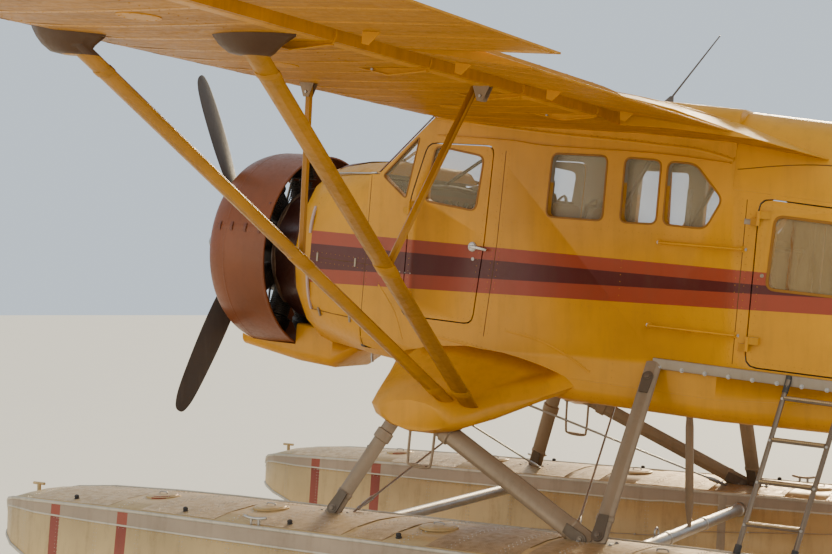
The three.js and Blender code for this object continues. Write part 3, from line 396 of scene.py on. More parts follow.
# Glass: mostly see-through, with a thin warm film; dew gathers in drops and runs
def glassFinish(name, tint=(0.8, 0.66, 0.4), dew=0.0, dewScale=55, body=0.1, stainX=None):
    material, tree, shader = newMaterial(name)
    place = objectPlace(tree)
    film = noise(tree, place, 4, (3, 3, 0.5) if dew > 0.5 else (1, 1, 0.5), detail=5)
    drops = put(tree, "TexVoronoi", {"Vector": place, "Scale": dewScale,
                                     "Randomness": 1.0}).outputs["Distance"]
    bead = remap(tree, drops, 0.1, 0.42, 1.0, 0.0)
    wet = remap(tree, film, 0.35, 0.65, dew * 0.35, dew)
    cover = calc(tree, "MULTIPLY_ADD", times(tree, wet, remap(tree, bead, 0, 1, 0.55, 1.0)), 0.5, body)
    shade = blendColour(tree, times(tree, wet, 0.6), tint, tuple(v * 0.62 for v in tint))
    if stainX:  # a rusty run below the seal
        x = apart(tree, fuselagePlace(tree))[0]
        run = times(tree, between(tree, x, stainX - 0.016, stainX + 0.014, 0.008),
                   remap(tree, noise(tree, place, 30, (3, 3, 0.5), detail=4), 0.38, 0.55))
        cover = calc(tree, "MAXIMUM", cover, times(tree, run, 0.85))
        shade = blendColour(tree, run, shade, (0.2, 0.085, 0.012))
    feed(shader, {"Alpha": cover, "Roughness": remap(tree, wet, 0, 1, 0.04, 0.35), "Base Color": shade})
    if dew:
        feed(shader, {"Normal": bump(tree, [(bead, 0.0006 * dew)])})
    return material


# Non-skid deck plate: rows of small raised lozenges, worn bright on their tops, dirt between them
def treadFinish(name, colour, pitch=0.022):
    material, tree, shader = newMaterial(name)
    place = objectPlace(tree)
    x, y, _ = apart(tree, place)
    u = calc(tree, "SINE", times(tree, calc(tree, "ADD", x, y), 2 * math.pi / pitch))
    v = calc(tree, "SINE", times(tree, calc(tree, "SUBTRACT", x, y), 2 * math.pi / pitch))
    stud = remap(tree, times(tree, u, v), 0.1, 0.55)
    wear = noise(tree, place, 5, detail=5, roughness=0.65)
    dirt = noise(tree, place, 24, detail=4)
    shade = blendColour(tree, remap(tree, wear, 0.35, 0.7), tuple(v * 0.72 for v in colour), colour)
    shade = blendColour(tree, times(tree, stud, 0.45), shade, tuple(min(1, v * 1.5) for v in colour))
    shade = blendColour(tree, remap(tree, dirt, 0.5, 0.8, 0, 0.45), shade, (0.13, 0.095, 0.06))
    feed(shader, {"Base Color": shade, "Roughness": remap(tree, dirt, 0.3, 0.7, 0.34, 0.6), "Metallic": 0.45,
                  "Normal": bump(tree, [(stud, 0.0014), (wear, 0.0012)])})
    return material


# Woven cloth: two crossed waves of thread with mottled dye
def clothFinish(name, colour, thread=900.0):
    material, tree, shader = newMaterial(name)
    x, y, z = apart(tree, objectPlace(tree))
    warp = calc(tree, "SINE", times(tree, calc(tree, "ADD", x, z), thread))
    weft = calc(tree, "SINE", times(tree, y, thread))
    weave = times(tree, warp, weft)
    dye = noise(tree, objectPlace(tree), 9, detail=5)
    shade = blendColour(tree, remap(tree, dye, 0.35, 0.7), colour, tuple(v * 1.5 for v in colour))
    shade = blendColour(tree, remap(tree, weave, -1, 1, 0, 0.3), shade, tuple(v * 0.5 for v in colour))
    feed(shader, {"Base Color": shade, "Roughness": 0.88, "Sheen Weight": 0.35,
                  "Normal": bump(tree, [(weave, 0.0003), (dye, 0.0015)])})
    return material


yellow = (0.57, 0.25, 0.0012)
finishes = {
    "yellow_paint": paintFinish("yellowPaint", yellow),
    "fuselage": paintFinish("fuselagePaint", yellow, overlay=stripeOverlay, ripple=0.0016),
    "red_paint": paintFinish("cowlPaint", (0.17, 0.044, 0.01), roughness=0.4, grimeColour=(0.05, 0.03, 0.02)),
    # the floats' silver paint tinted warm tan: part paint, part painted warm reflected light
    "float_paint": paintFinish("floatPaintWarmLit", (0.5, 0.345, 0.155), roughness=0.42, metallic=0.2,
                               grime=0.45, overlay=floatOverlay),
    "wing": paintFinish("wingPaint", yellow, overlay=wingShadeOverlay, roughness=0.46, coat=0.0),
    # the wing struts carry the wing's yellow painted darker, as painted shade
    "wingStrut": paintFinish("wingStrutPaint", (0.4, 0.175, 0.0012), grime=0.5, overlay=fairingShadeOverlay),
    "strut_paint": paintFinish("strutPaint", (0.27, 0.195, 0.125), roughness=0.46, metallic=0.3, grime=0.35),
    "darkFitting": paintFinish("darkFitting", (0.125, 0.095, 0.068), roughness=0.5, metallic=0.4, grime=0.5),
    "ladderPaint": paintFinish("ladderPaint", (0.17, 0.13, 0.095), roughness=0.42, metallic=0.5, grime=0.4),
    "bare_aluminium": metalFinish("bareAluminium", (0.46, 0.44, 0.41)),
    "stay_steel": metalFinish("staySteel", (0.4, 0.38, 0.36), roughness=0.42),
    "engine_metal": metalFinish("engineMetal", (0.13, 0.115, 0.1), roughness=0.6, film=(0.05, 0.035, 0.022)),
    "exhaust_steel": metalFinish("exhaustSteel", (0.3, 0.2, 0.13), roughness=0.6, film=(0.12, 0.06, 0.03)),
    "propeller_paint": paintFinish("propellerPaint", (0.075, 0.06, 0.052), roughness=0.5, coat=0.0,
                                   grime=0.35, grimeColour=(0.2, 0.17, 0.14)),
    "mast_paint": matteFinish("mastPaint", (0.1, 0.09, 0.085), roughness=0.5),
    "panel_paint": matteFinish("panelPaint", (0.05, 0.05, 0.048), roughness=0.62),
    "window_glass": glassFinish("windowGlass", dew=0.25, body=0.12),
    "seat_cloth": clothFinish("seatCloth", (0.16, 0.1, 0.06)),
    "rubber": matteFinish("rubber", (0.028, 0.026, 0.025)),
    "cowlDark": paintFinish("cowlRivetPaint", (0.13, 0.04, 0.022), roughness=0.5, grime=0.5),
    "crankcase": paintFinish("crankcasePaint", (0.075, 0.068, 0.06), roughness=0.45, metallic=0.4, grime=0.5),
    "antiGlare": matteFinish("antiGlarePaint", (0.115, 0.04, 0.026), roughness=0.62,
                             bloom=(0.15, 0.09, 0.06)),
    "seal": matteFinish("sealStrip", (0.44, 0.3, 0.25), roughness=0.6, bloom=(0.3, 0.22, 0.18)),
    "railGrey": paintFinish("railPaint", (0.3, 0.24, 0.175), roughness=0.42, metallic=0.3, grime=0.4),
    "frameTrim": paintFinish("windowTrim", (0.26, 0.105, 0.004), roughness=0.5, grime=0.5),
    "seam": matteFinish("seamShadow", (0.1, 0.04, 0.004), roughness=0.8, bloom=(0.17, 0.075, 0.008)),
    "sheer": paintFinish("sheerBand", (0.31, 0.235, 0.165), roughness=0.42, metallic=0.15, grime=0.35,
                         overlay=floatOverlay),
    "dialFace": matteFinish("dialFace", (0.012, 0.012, 0.013), roughness=0.4),
    "dial": matteFinish("dialMarks", (0.75, 0.73, 0.66), roughness=0.5),
    "redLamp": glassFinish("redLamp", tint=(0.55, 0.012, 0.008), body=0.8),
    "greenLamp": glassFinish("greenLamp", tint=(0.012, 0.36, 0.06), body=0.8),
    "clearLamp": glassFinish("clearLamp", tint=(0.85, 0.84, 0.8), body=0.8),
    "clearGlass": glassFinish("doorGlass", dew=0.12, dewScale=90, body=0.08),
    "dewGlass": glassFinish("rearGlass", tint=(0.62, 0.42, 0.18), dew=1.0, dewScale=150, body=0.12,
                            stainX=-4.27),
    "strap": clothFinish("strapWebbing", (0.05, 0.045, 0.04), thread=1600),
    "yellowRivets": paintFinish("rivetPaint", tuple(v * 0.8 for v in yellow), roughness=0.45, grime=0.6),
    "floatTrim": paintFinish("floatTrimPaint", (0.44, 0.39, 0.31), roughness=0.4, metallic=0.35, grime=0.5),
    # the treads' silver tinted warm tan: part paint, part painted warm reflected light
    "treads": treadFinish("deckTreadsWarmLit", (0.44, 0.305, 0.155)),
    "floatRivets": paintFinish("floatRivetMetal", (0.46, 0.42, 0.36), roughness=0.4, metallic=0.5, grime=0.5),
}
# Nodes whose names start with these take the striped fuselage finish
striped = ("cabin_side_", "cockpit_door_", "cabin_door_", "rear_fuselage", "nose_section", "cabin_floor")


def finishOf(node):
    if node.startswith("wing_strut_"):
        return finishes["wingStrut"]
    if node.startswith(("wing_", "flap_", "aileron_")):
        return finishes["wing"]
    if node == "ladder":
        return finishes["ladderPaint"]
    return finishes["fuselage" if node.startswith(striped) else slotOf[node]]


print("materials ready:", len(finishes))

# Mesh building. A part is a pair: points as an n x 3 array, and a list of face arrays


def grid(points, closedU=False, closedV=False):  # quads between neighbours of a two-parameter grid of points
    nu, nv = points.shape[:2]
    index = np.arange(nu * nv).reshape(nu, nv)
    a = index if closedU else index[:-1]
    b = np.roll(index, -1, 0) if closedU else index[1:]
    a0, b0 = (a, b) if closedV else (a[:, :-1], b[:, :-1])
    a1, b1 = (np.roll(a, -1, 1), np.roll(b, -1, 1)) if closedV else (a[:, 1:], b[:, 1:])
    return points.reshape(-1, 3), [np.stack([a0, b0, b1, a1], -1).reshape(-1, 4)]


def volumeOf(points, faces):  # six times the signed volume under a closed set of faces
    total = 0.0
    for f in faces:
        for k in range(1, f.shape[1] - 1):
            a, b, c = points[f[:, 0]], points[f[:, k]], points[f[:, k + 1]]
            total += np.einsum("ij,ij->", a, np.cross(b, c))
    return total


def outward(points, faces):  # faces turned round where the signed volume is negative
    centred = points - points.mean(0)
    return (points, [f[:, ::-1] for f in faces]) if volumeOf(centred, faces) < 0 else (points, faces)


# A skin over rings of equal count; fans close the two ends unless it closes on itself
def solid(rings, closed=False):
    points, faces = grid(rings, closedU=closed, closedV=True)
    if not closed:
        nu, nv = rings.shape[:2]
        points = np.vstack([points, rings[0].mean(0), rings[-1].mean(0)])
        i = np.arange(nv)
        j = np.roll(i, -1)
        last = (nu - 1) * nv
        faces.append(np.stack([i, j, np.full(nv, nu * nv)], -1))
        faces.append(np.stack([last + j, last + i, np.full(nv, nu * nv + 1)], -1))
    return outward(points, faces)


def unit(v):  # vectors over their lengths
    return v / np.linalg.norm(v, axis=-1, keepdims=True)


def tangents(path, closed=False):  # differences of neighbouring points, made unit length
    step = np.roll(path, -1, 0) - np.roll(path, 1, 0) if closed else np.gradient(path, axis=0)
    return unit(step)


def sweep(path, profile, normal, closed=False):  # a flat profile (across, up) carried along a path
    path = floats(path)
    normal = np.broadcast_to(floats(normal), path.shape)
    along = tangents(path, closed)
    side = unit(np.cross(along, normal))
    up = unit(np.cross(side, along))
    profile = floats(profile)
    rings = path[:, None] + profile[None, :, :1] * side[:, None] + profile[None, :, 1:] * up[:, None]
    return solid(rings, closed)


def fullTurn(count):  # angles evenly round a circle
    return np.linspace(0, 2 * math.pi, count, endpoint=False)


def circle(radius, sides=10):  # radius times cosine and sine of even steps
    t = np.arange(sides) * 2 * math.pi / sides
    return np.stack([np.cos(t), np.sin(t)], -1) * radius


# Circles square to the path; the radius may change along it
def tube(path, radius, sides=10, normal=(0.0713, 0.1237, 0.99)):
    path = floats(path)
    along = tangents(path)
    side = unit(np.cross(along, np.broadcast_to(normal, path.shape)))
    up = np.cross(side, along)
    c = circle(1.0, sides)
    reach = np.broadcast_to(floats(radius), (len(path),))[:, None, None]
    rings = path[:, None] + reach * (c[None, :, :1] * side[:, None] + c[None, :, 1:] * up[:, None])
    return solid(rings)


def turned(profile, origin=(0, 0, 0), axis=(1, 0, 0), sides=64, closed=False):
    # a profile of (along the axis, radius) turned about the axis; closed profiles make a ring
    axis = unit(floats(axis))
    side = unit(np.cross(axis, (0.0, 0.0, 1.0) if abs(axis[2]) < 0.9 else (1.0, 0.0, 0.0)))
    up = np.cross(side, axis)
    profile = floats(profile)
    c = circle(1.0, sides)
    spoke = c[:, :1] * side + c[:, 1:] * up
    rings = (np.asarray(origin) + profile[:, None, :1] * axis + profile[:, None, 1:] * spoke[None])
    return solid(rings, closed)


# A flat band on a surface, its edges bevelled
def strip(path, normal, width, height, bevel=0.25, closed=False):
    half, inner = width / 2, width / 2 * (1 - bevel)
    return sweep(path, [(-half, -height), (half, -height), (half, height * 0.4), (inner, height),
                        (-inner, height), (-half, height * 0.4)], normal, closed)


def stamped(part, centres, x, z):  # copies of a small part at many places; x and z are each copy's own axes
    points, faces = part
    centres = floats(centres).reshape(-1, 3)
    z = unit(np.broadcast_to(floats(z), centres.shape))
    x = np.broadcast_to(floats(x), centres.shape)
    y = unit(np.cross(z, x))
    x = np.cross(y, z)
    axes = np.stack([x, y, z], 1)
    placed = centres[:, None] + np.einsum("pk,nkc->npc", points, axes)
    shift = (np.arange(len(centres)) * len(points))[:, None, None]
    return placed.reshape(-1, 3), [(f[None] + shift).reshape(-1, f.shape[1]) for f in faces]


def anyAcross(normals):  # a direction square to each normal
    normals = floats(normals).reshape(-1, 3)
    pick = np.where(np.abs(normals[:, :1]) < 0.8, [[1.0, 0, 0]], [[0, 1.0, 0]])
    return unit(np.cross(normals, pick))


def dome(radius, height, sides=6):  # a rivet head: a low cone under a flat crown
    rings = [(-0.4, 1.05), (1.0, 0.55)]
    return turned([(h * height, r * radius) for h, r in rings], axis=(0, 0, 1), sides=sides)


# A head at each centre, its axis along the normal
def rivets(centres, normals, radius=0.004, height=0.0022, sides=6):
    centres = floats(centres).reshape(-1, 3)
    normals = np.broadcast_to(floats(normals), centres.shape)
    return stamped(dome(radius, height, sides), centres, anyAcross(normals), normals)


def hexBolt(radius, height):  # a hexagon head on a washer
    washer = turned([(-0.3 * height, radius * 1.5), (0.22 * height, radius * 1.5)], axis=(0, 0, 1), sides=16)
    head = turned([(0.2 * height, radius), (0.9 * height, radius), (height, radius * 0.8)], axis=(0, 0, 1),
                  sides=6)
    return together([washer, head])


def together(parts):  # several parts as one
    points, faces, count = [], {}, 0
    for p, fs in parts:
        points.append(p)
        for f in fs:
            faces.setdefault(f.shape[1], []).append(f + count)
        count += len(p)
    return np.vstack(points), [np.vstack(fs) for fs in faces.values()]


def block(low, high, bevel=0.0):  # a box with its corners taken off: rings of a rounded rectangle
    low, high = floats(low), floats(high)
    r = bevel or 0.08 * (high - low)[:2].min()
    mid, half = (low + high) / 2, (high - low) / 2
    t = np.radians([0, 45, 90])
    arc = np.stack([np.cos(t), np.sin(t)], -1)
    signs = [(1, 1, 0), (-1, 1, 1), (-1, -1, 0), (1, -1, 1)]
    ring = []
    for sx, sy, flip in signs:
        corner = (arc[::-1] if flip else arc) * r + (half[:2] - r)
        ring.append(corner * (sx, sy))
    ring = np.vstack(ring)
    levels = [(-half[2], r * 0.7), (-half[2] + r * 0.7, 0), (half[2] - r * 0.7, 0), (half[2], r * 0.7)]
    rings = []
    for h, inset in levels:
        scale = (half[:2] - inset) / half[:2]
        rings.append(np.column_stack([ring * scale, np.full(len(ring), h)]) + mid)
    return solid(np.stack(rings))


def mirrorY(part):  # the starboard copy of a port part
    points, faces = part
    return points * (1, -1, 1), [f[:, ::-1] for f in faces]


def bothSides(parts):
    return list(parts) + [mirrorY(p) for p in parts]


# One object of several parts, with its finish and body; the slot argument is not used
def piece(name, parts, finish, body, slot=None, sharp=40, replaces=()):
    points, faces = together(parts)
    mesh = bpy.data.meshes.new(name)
    mesh.vertices.add(len(points))
    mesh.vertices.foreach_set("co", points.astype(np.float32).ravel())
    sizes = np.concatenate([np.full(len(f), f.shape[1]) for f in faces])
    mesh.loops.add(int(sizes.sum()))
    mesh.loops.foreach_set("vertex_index", np.concatenate([f.ravel() for f in faces]).astype(np.int32))
    mesh.polygons.add(len(sizes))
    mesh.polygons.foreach_set("loop_start", np.concatenate([[0], np.cumsum(sizes)[:-1]]).astype(np.int32))
    mesh.polygons.foreach_set("use_smooth", np.ones(len(sizes), bool))
    mesh.update(calc_edges=True)
    mesh.validate()
    mesh.set_sharp_from_angle(angle=math.radians(sharp))
    obj = bpy.data.objects.new(name, mesh)
    bpy.context.scene.collection.objects.link(obj)
    obj.data.materials.append(finishes[finish])
    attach(obj, body)
    if replaces:
        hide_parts(*replaces)
    return obj


# A CAD node's own form with merged corners and smooth shading, standing for the node
def smoothed(node, sharp=38):
    mesh = nodes[node].data.copy()
    mesh.name = node + "_skin"
    work = bmesh.new()
    work.from_mesh(mesh)
    bmesh.ops.remove_doubles(work, verts=work.verts, dist=1e-5)
    bmesh.ops.dissolve_limit(work, angle_limit=math.radians(0.6), verts=work.verts, edges=work.edges)
    work.to_mesh(mesh)
    work.free()
    mesh.polygons.foreach_set("use_smooth", np.ones(len(mesh.polygons), bool))
    mesh.set_sharp_from_angle(angle=math.radians(sharp))
    mesh.materials.clear()
    mesh.materials.append(finishOf(node))
    obj = bpy.data.objects.new(node + "_skin", mesh)
    bpy.context.scene.collection.objects.link(obj)
    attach(obj, bodyOf[node])
    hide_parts(node)
    return obj


# Every CAD node gets its finish; those that nothing else stands for show smoothed
ownForm = set()


def dressNodes():
    for name, obj in nodes.items():
        obj.data.materials.clear()
        obj.data.materials.append(finishOf(name))
        if name not in ownForm and not obj.hide_render:
            smoothed(name)
    print("nodes dressed")


# Places on the skin, in the fuselage frame and in metres.
# Columns: x, half width, bottom, top, lower and upper corner radius
bodyRows = np.array([
    [-0.600, 0.470, -0.470, 0.470, 0.470, 0.470],
    [-0.790, 0.520, -0.520, 0.520, 0.520, 0.520],
    [-0.872, 0.596, -0.594, 0.598, 0.590, 0.590],
    [-0.905, 0.622, -0.616, 0.630, 0.590, 0.560],
    [-1.020, 0.640, -0.636, 0.652, 0.560, 0.520],
    [-1.250, 0.655, -0.628, 0.668, 0.420, 0.400],
    [-1.480, 0.664, -0.612, 0.672, 0.260, 0.330],
    [-1.481, 0.664, -0.612, 1.100, 0.200, 0.040],
    [-1.850, 0.678, -0.625, 1.100, 0.120, 0.040],
    [-2.400, 0.680, -0.665, 1.100, 0.090, 0.040],
    [-3.000, 0.680, -0.700, 1.100, 0.090, 0.040],
    [-3.925, 0.680, -0.690, 1.100, 0.090, 0.040],
    [-3.926, 0.680, -0.690, 1.060, 0.090, 0.230],
    [-4.600, 0.664, -0.660, 1.002, 0.090, 0.270],
    [-5.300, 0.606, -0.590, 0.928, 0.110, 0.310],
    [-6.600, 0.455, -0.405, 0.790, 0.140, 0.300],
    [-7.800, 0.262, -0.175, 0.665, 0.110, 0.170],
    [-8.820, 0.092, 0.040, 0.560, 0.060, 0.060],
])
wingShape = {"nose": -1.79, "noseZ": 1.026, "rise": 0.012, "rootY": 0.692, "incidence": 0.033,
             "thickness": 0.107, "camber": 0.02}
wingStations = [0.692, 1.0, 1.25]
wingChords = [2.64, 2.345, 2.345]
wingDroops = [0.139, 0.085, 0.0]
surfaceHinge = -3.42
flapStations = [1.3, 2.15, 3.0]
aileronStations = [3.7, 5.1, 6.6]


def bodyAt(x):  # every column between its rows, along straight lines
    return [np.interp(-floats(x), -bodyRows[:, 0], bodyRows[:, k]) for k in range(1, 6)]


# y of the side: the half width, less what the round corner takes off near the bottom and the top
def sideAt(x, z):
    half, bottom, top, low, high = bodyAt(x)
    under = np.clip(bottom + low - z, 0, low)
    over = np.clip(z - top + high, 0, high)
    return half - low + np.sqrt(low ** 2 - under ** 2) - high + np.sqrt(high ** 2 - over ** 2)


def onSide(places, lift=0.0):  # (x, z) places on the port side: points and normals
    places = floats(places)
    x, z = places[..., 0], places[..., 1]
    e = 0.006
    slopeX = (sideAt(x + e, z) - sideAt(x - e, z)) / (2 * e)
    slopeZ = (sideAt(x, z + e) - sideAt(x, z - e)) / (2 * e)
    normal = unit(xyz(-slopeX, 1, -slopeZ))
    return xyz(x, sideAt(x, z), z) + lift * normal, normal


# z of the roof or, with under, of the belly: the top less what the round corner takes off towards the side
def roofAt(x, y, under=False):
    half, bottom, top, low, high = bodyAt(x)
    radius = low if under else high
    past = np.clip(np.abs(y) - half + radius, 0, radius)
    drop = radius - np.sqrt(radius ** 2 - past ** 2)
    return bottom + drop if under else top - drop


# z of the wing's skin: camber line plus or less half the thickness, tilted by the incidence
def wingZ(x, y, side=1):
    x, y = np.broadcast_arrays(floats(x), np.abs(floats(y)))
    length = np.interp(y, wingStations, wingChords)
    t = np.clip((wingShape["nose"] - x) / length, 0, 1)
    c = wingShape["camber"]
    line = np.where(t < 0.4, c / 0.16 * (0.8 * t - t * t), c / 0.36 * (0.2 + 0.8 * t - t * t))
    half = 5 * wingShape["thickness"] * (0.2969 * np.sqrt(t) - 0.126 * t - 0.3516 * t ** 2
                                         + 0.2843 * t ** 3 - 0.1036 * t ** 4)
    height = (line + side * half) * np.sqrt(length * wingChords[-1])
    base = wingShape["noseZ"] + wingShape["rise"] * (y - wingShape["rootY"])
    droop = np.interp(y, wingStations, wingDroops) * t ** 4
    return base - t * length * wingShape["incidence"] + height - droop


def onWing(places, side=-1, lift=0.0):  # (x, y) places on the wing's lower or upper skin
    places = floats(places)
    x, y = places[..., 0], places[..., 1]
    e = 0.01
    slopeX = (wingZ(x + e, y, side) - wingZ(x - e, y, side)) / (2 * e)
    slopeY = (wingZ(x, y + e, side) - wingZ(x, y - e, side)) / (2 * e)
    normal = unit(xyz(-slopeX, -slopeY, 1)) * side
    return xyz(x, y, wingZ(x, y, side)) + lift * normal, normal


def along(corners, step=0.04, closed=False, keep=True):  # points along a polyline, its own corners kept
    corners = floats(corners)
    if closed:
        corners = np.vstack([corners, corners[:1]])
    run = np.concatenate([[0], np.cumsum(np.linalg.norm(np.diff(corners, axis=0), axis=1))])
    at = np.linspace(0, run[-1], max(2, int(round(run[-1] / step)) + 1))
    if keep:
        at = np.unique(np.round(np.concatenate([at, run]), 5))
        at = at[np.concatenate([[True], np.diff(at) > 0.002])]
    if closed:
        at = at[at < run[-1] - 0.002]
    return np.stack([np.interp(at, run, corners[:, k]) for k in range(corners.shape[1])], -1)


def roundedLoop(corners, radius, steps=5):  # quadratic curves in place of the corners
    corners = floats(corners)
    before = corners + radius * unit(np.roll(corners, 1, 0) - corners)
    after = corners + radius * unit(np.roll(corners, -1, 0) - corners)
    t = np.linspace(0, 1, steps + 1)[None, :, None]
    curve = (1 - t) ** 2 * before[:, None] + 2 * t * (1 - t) * corners[:, None] + t ** 2 * after[:, None]
    return curve.reshape(-1, corners.shape[1])


def smoothCurve(points, count):  # Catmull-Rom curve through the points
    points = floats(points)
    n = len(points)
    at = np.linspace(0, n - 1, count)
    i = np.clip(at.astype(int), 0, n - 2)
    t = (at - i)[:, None]
    p0, p1, p2, p3 = points[np.maximum(i - 1, 0)], points[i], points[i + 1], points[np.minimum(i + 2, n - 1)]
    return 0.5 * (2 * p1 + (p2 - p0) * t + (2 * p0 - 5 * p1 + 4 * p2 - p3) * t ** 2
                  + (3 * p1 - p0 - 3 * p2 + p3) * t ** 3)


# A band on the side along a polyline
def sideStrip(corners, width=0.012, height=0.0015, closed=False, lift=0.0, step=0.04):
    path, normal = onSide(along(corners, step, closed), lift)
    return strip(path, normal, width, height, closed=closed)


# Evenly spaced rivets on the side along a polyline
def sideRivets(corners, step=0.035, radius=0.0042, height=0.0022, closed=False):
    return rivets(*onSide(along(corners, step, closed, keep=False)), radius, height)


def wingStrip(corners, width=0.02, height=0.0012, side=-1):
    path, normal = onWing(along(corners, 0.05), side)
    return strip(path, normal, width, height)


def wingRivets(corners, step=0.045, side=-1, radius=0.004, height=0.002):
    return rivets(*onWing(along(corners, step, keep=False), side), radius, height)


def plate(loop, normal, thickness):  # a flat pane or plate over a loop of points
    loop = floats(loop)
    return solid(np.stack([loop, loop + thickness * floats(normal)]))


def roundBox(width, height, radius, steps=3):  # a section's outline: a rectangle with round corners
    t = np.linspace(0, math.pi / 2, steps + 1)
    corner = np.stack([np.cos(t), np.sin(t)], -1) * radius
    signs = [(1, 1), (-1, 1), (-1, -1), (1, -1)]
    half = np.array([width / 2 - radius, height / 2 - radius])
    return np.vstack([(corner[::-1] if sx != sy else corner) * (sx, sy) + half * (sx, sy)
                      for sx, sy in signs])


# A bolt head at each centre, its axis along the normal
def boltsAt(centres, normals, radius=0.009, height=0.009):
    centres = floats(centres).reshape(-1, 3)
    normals = np.broadcast_to(floats(normals), centres.shape)
    return stamped(hexBolt(radius, height), centres, anyAcross(normals), normals)


def airPiece(name, parts, finish, body="airframe", **more):  # parts in the fuselage frame
    return piece(name, [(fus(points), faces) for points, faces in parts], finish, body, **more)


def airPair(name, parts, finish, body=None, stands=(), **more):  # the port parts and their mirror
    for side, made in (("port", list(parts)), ("starboard", [mirrorY(part) for part in parts])):
        airPiece(f"{name}_{side}", made, finish, f"{body}_{side}" if body else "airframe",
                 replaces=[f"{node}_{side}" for node in stands], **more)


def floatPair(name, parts, finish, **more):  # parts in the model's frame, on the port float
    for side, made in (("port", list(parts)), ("starboard", [mirrorY(part) for part in parts])):
        piece(f"{name}_{side}", made, finish, "airframe", **more)


# Cowl ring: one bulged band turned about the shaft, with a rolled lip, hoops, joint strips and latches
cowl = {
    "outer": [(-0.68, 0.694), (-0.56, 0.7005), (-0.45, 0.704), (-0.37, 0.7035), (-0.3, 0.7), (-0.245, 0.688),
              (-0.19, 0.668), (-0.155, 0.642), (-0.132, 0.612), (-0.12, 0.584), (-0.119, 0.56)],
    "inner": [(-0.128, 0.546), (-0.141, 0.545), (-0.165, 0.56), (-0.2, 0.59), (-0.3, 0.672), (-0.45, 0.689),
              (-0.68, 0.684)],
    "joints": (12, 168, 270),  # degrees from port, towards the top
    "cylinderX": -0.43,
    # run along the band and rise of each latch
    "latch": [(-0.03, 0.0), (-0.01, 0.006), (0.012, 0.007), (0.032, 0.001)],
}


def cowlAt(x, degrees, lift=0.0):  # a point on the cowl's outer skin and its normal
    rows = np.array(cowl["outer"])[::-1]
    x, a = np.broadcast_arrays(floats(x), np.radians(floats(degrees)))
    order = np.argsort(rows[:, 0])
    rows = rows[order]
    radius = np.interp(x, rows[:, 0], rows[:, 1])
    slope = (np.interp(x + 0.01, rows[:, 0], rows[:, 1]) - np.interp(x - 0.01, rows[:, 0], rows[:, 1])) / 0.02
    normal = unit(xyz(-slope, np.cos(a), np.sin(a)))
    return xyz(x, radius * np.cos(a), radius * np.sin(a)) + lift * normal, normal


def makeCowl():
    outer = smoothCurve(cowl["outer"], 34)
    inner = smoothCurve(cowl["inner"], 18)
    skin = turned(np.vstack([outer, inner]), sides=120, closed=True)
    lugs = []
    for k in (0, 3, 6):  # brackets from three cylinder heads to the band
        a = math.pi / 2 - 2 * math.pi * k / 9
        out = np.array([0, math.cos(a), math.sin(a)])
        x = cowl["cylinderX"]
        lugs.append(sweep([np.array([x, 0, 0]) + out * r for r in (0.6505, 0.665, 0.687)],
                          roundBox(0.06, 0.05, 0.006), (1, 0, 0)))
    airPiece("cowl_band", [skin] + lugs, "red_paint", replaces=["cowl_ring"], sharp=50)
    ring = np.arange(0, 360, 2.5)
    trim = []
    for x, width in ((-0.668, 0.022), (-0.33, 0.018)):  # hoops at the rear edge and round the middle
        trim.append(strip(*cowlAt(x, ring), width, 0.0016, closed=True))
    for degrees in cowl["joints"]:
        runX = np.linspace(-0.676, -0.205, 24)
        trim.append(strip(*cowlAt(runX, degrees), 0.046, 0.0018))
    airPiece("cowl_strips", trim, "red_paint", sharp=50)
    heads = []
    dots = np.arange(0, 360, 4.0)
    for x in (-0.674, -0.661, -0.336, -0.324, -0.168):
        heads.append(rivets(*cowlAt(x, dots), 0.0034, 0.002))
    for degrees in cowl["joints"]:
        runX = np.arange(-0.645, -0.22, 0.028)
        for off in (-1.45, 1.45):
            heads.append(rivets(*cowlAt(runX, degrees + off), 0.0034, 0.003))
    airPiece("cowl_rivets", heads, "cowlDark")
    latches = []
    for degrees in cowl["joints"]:
        for x in (-0.62, -0.5, -0.38, -0.27):
            centre, normal = cowlAt(x, degrees, 0.002)
            tangent = np.cross((1, 0, 0), normal)
            bar = [centre + tangent * run + normal * rise for run, rise in cowl["latch"]]
            latches.append(sweep(smoothCurve(bar, 9), roundBox(0.02, 0.004, 0.0015), normal))
            latches.append(tube([centre + tangent * 0.01 - (0.014, 0, 0) + normal * 0.005,
                                 centre + tangent * 0.01 + (0.014, 0, 0) + normal * 0.005], 0.0035, 8))
    centre, normal = cowlAt(-0.64, 28)
    latches.append(stamped(dome(0.012, 0.005, 14), [centre], (1, 0, 0), [normal]))
    airPiece("cowl_latches", latches, "cowlDark")


# Propeller: blades lofted from rows of radius, width, thickness and twist; the section's back is flatter
propeller = {
    "rows": [(0.06, 0.096, 0.092, 30), (0.18, 0.112, 0.08, 29), (0.3, 0.14, 0.06, 27),
             (0.52, 0.19, 0.036, 20), (0.8, 0.208, 0.024, 13), (1.08, 0.19, 0.016, 10),
             (1.25, 0.158, 0.012, 9), (1.33, 0.112, 0.009, 8), (1.36, 0.07, 0.008, 8),
             (1.3695, 0.026, 0.006, 8)],
    "angles": (-31, 89, 209),  # from straight up, towards starboard
    "dome": [(-0.0615, 0.094), (-0.04, 0.119), (-0.02, 0.12), (0.045, 0.12), (0.062, 0.116), (0.074, 0.1),
             (0.088, 0.092), (0.1, 0.0905), (0.24, 0.089), (0.3, 0.086), (0.336, 0.074), (0.362, 0.058),
             (0.384, 0.036), (0.396, 0.014), (0.3995, 0.003)],
}


def bladeFrame(degrees):  # the blade's own run and the direction across it in the disc
    a = math.radians(degrees)
    return np.array([0, -math.sin(a), math.cos(a)]), np.array([0, -math.cos(a), -math.sin(a)])


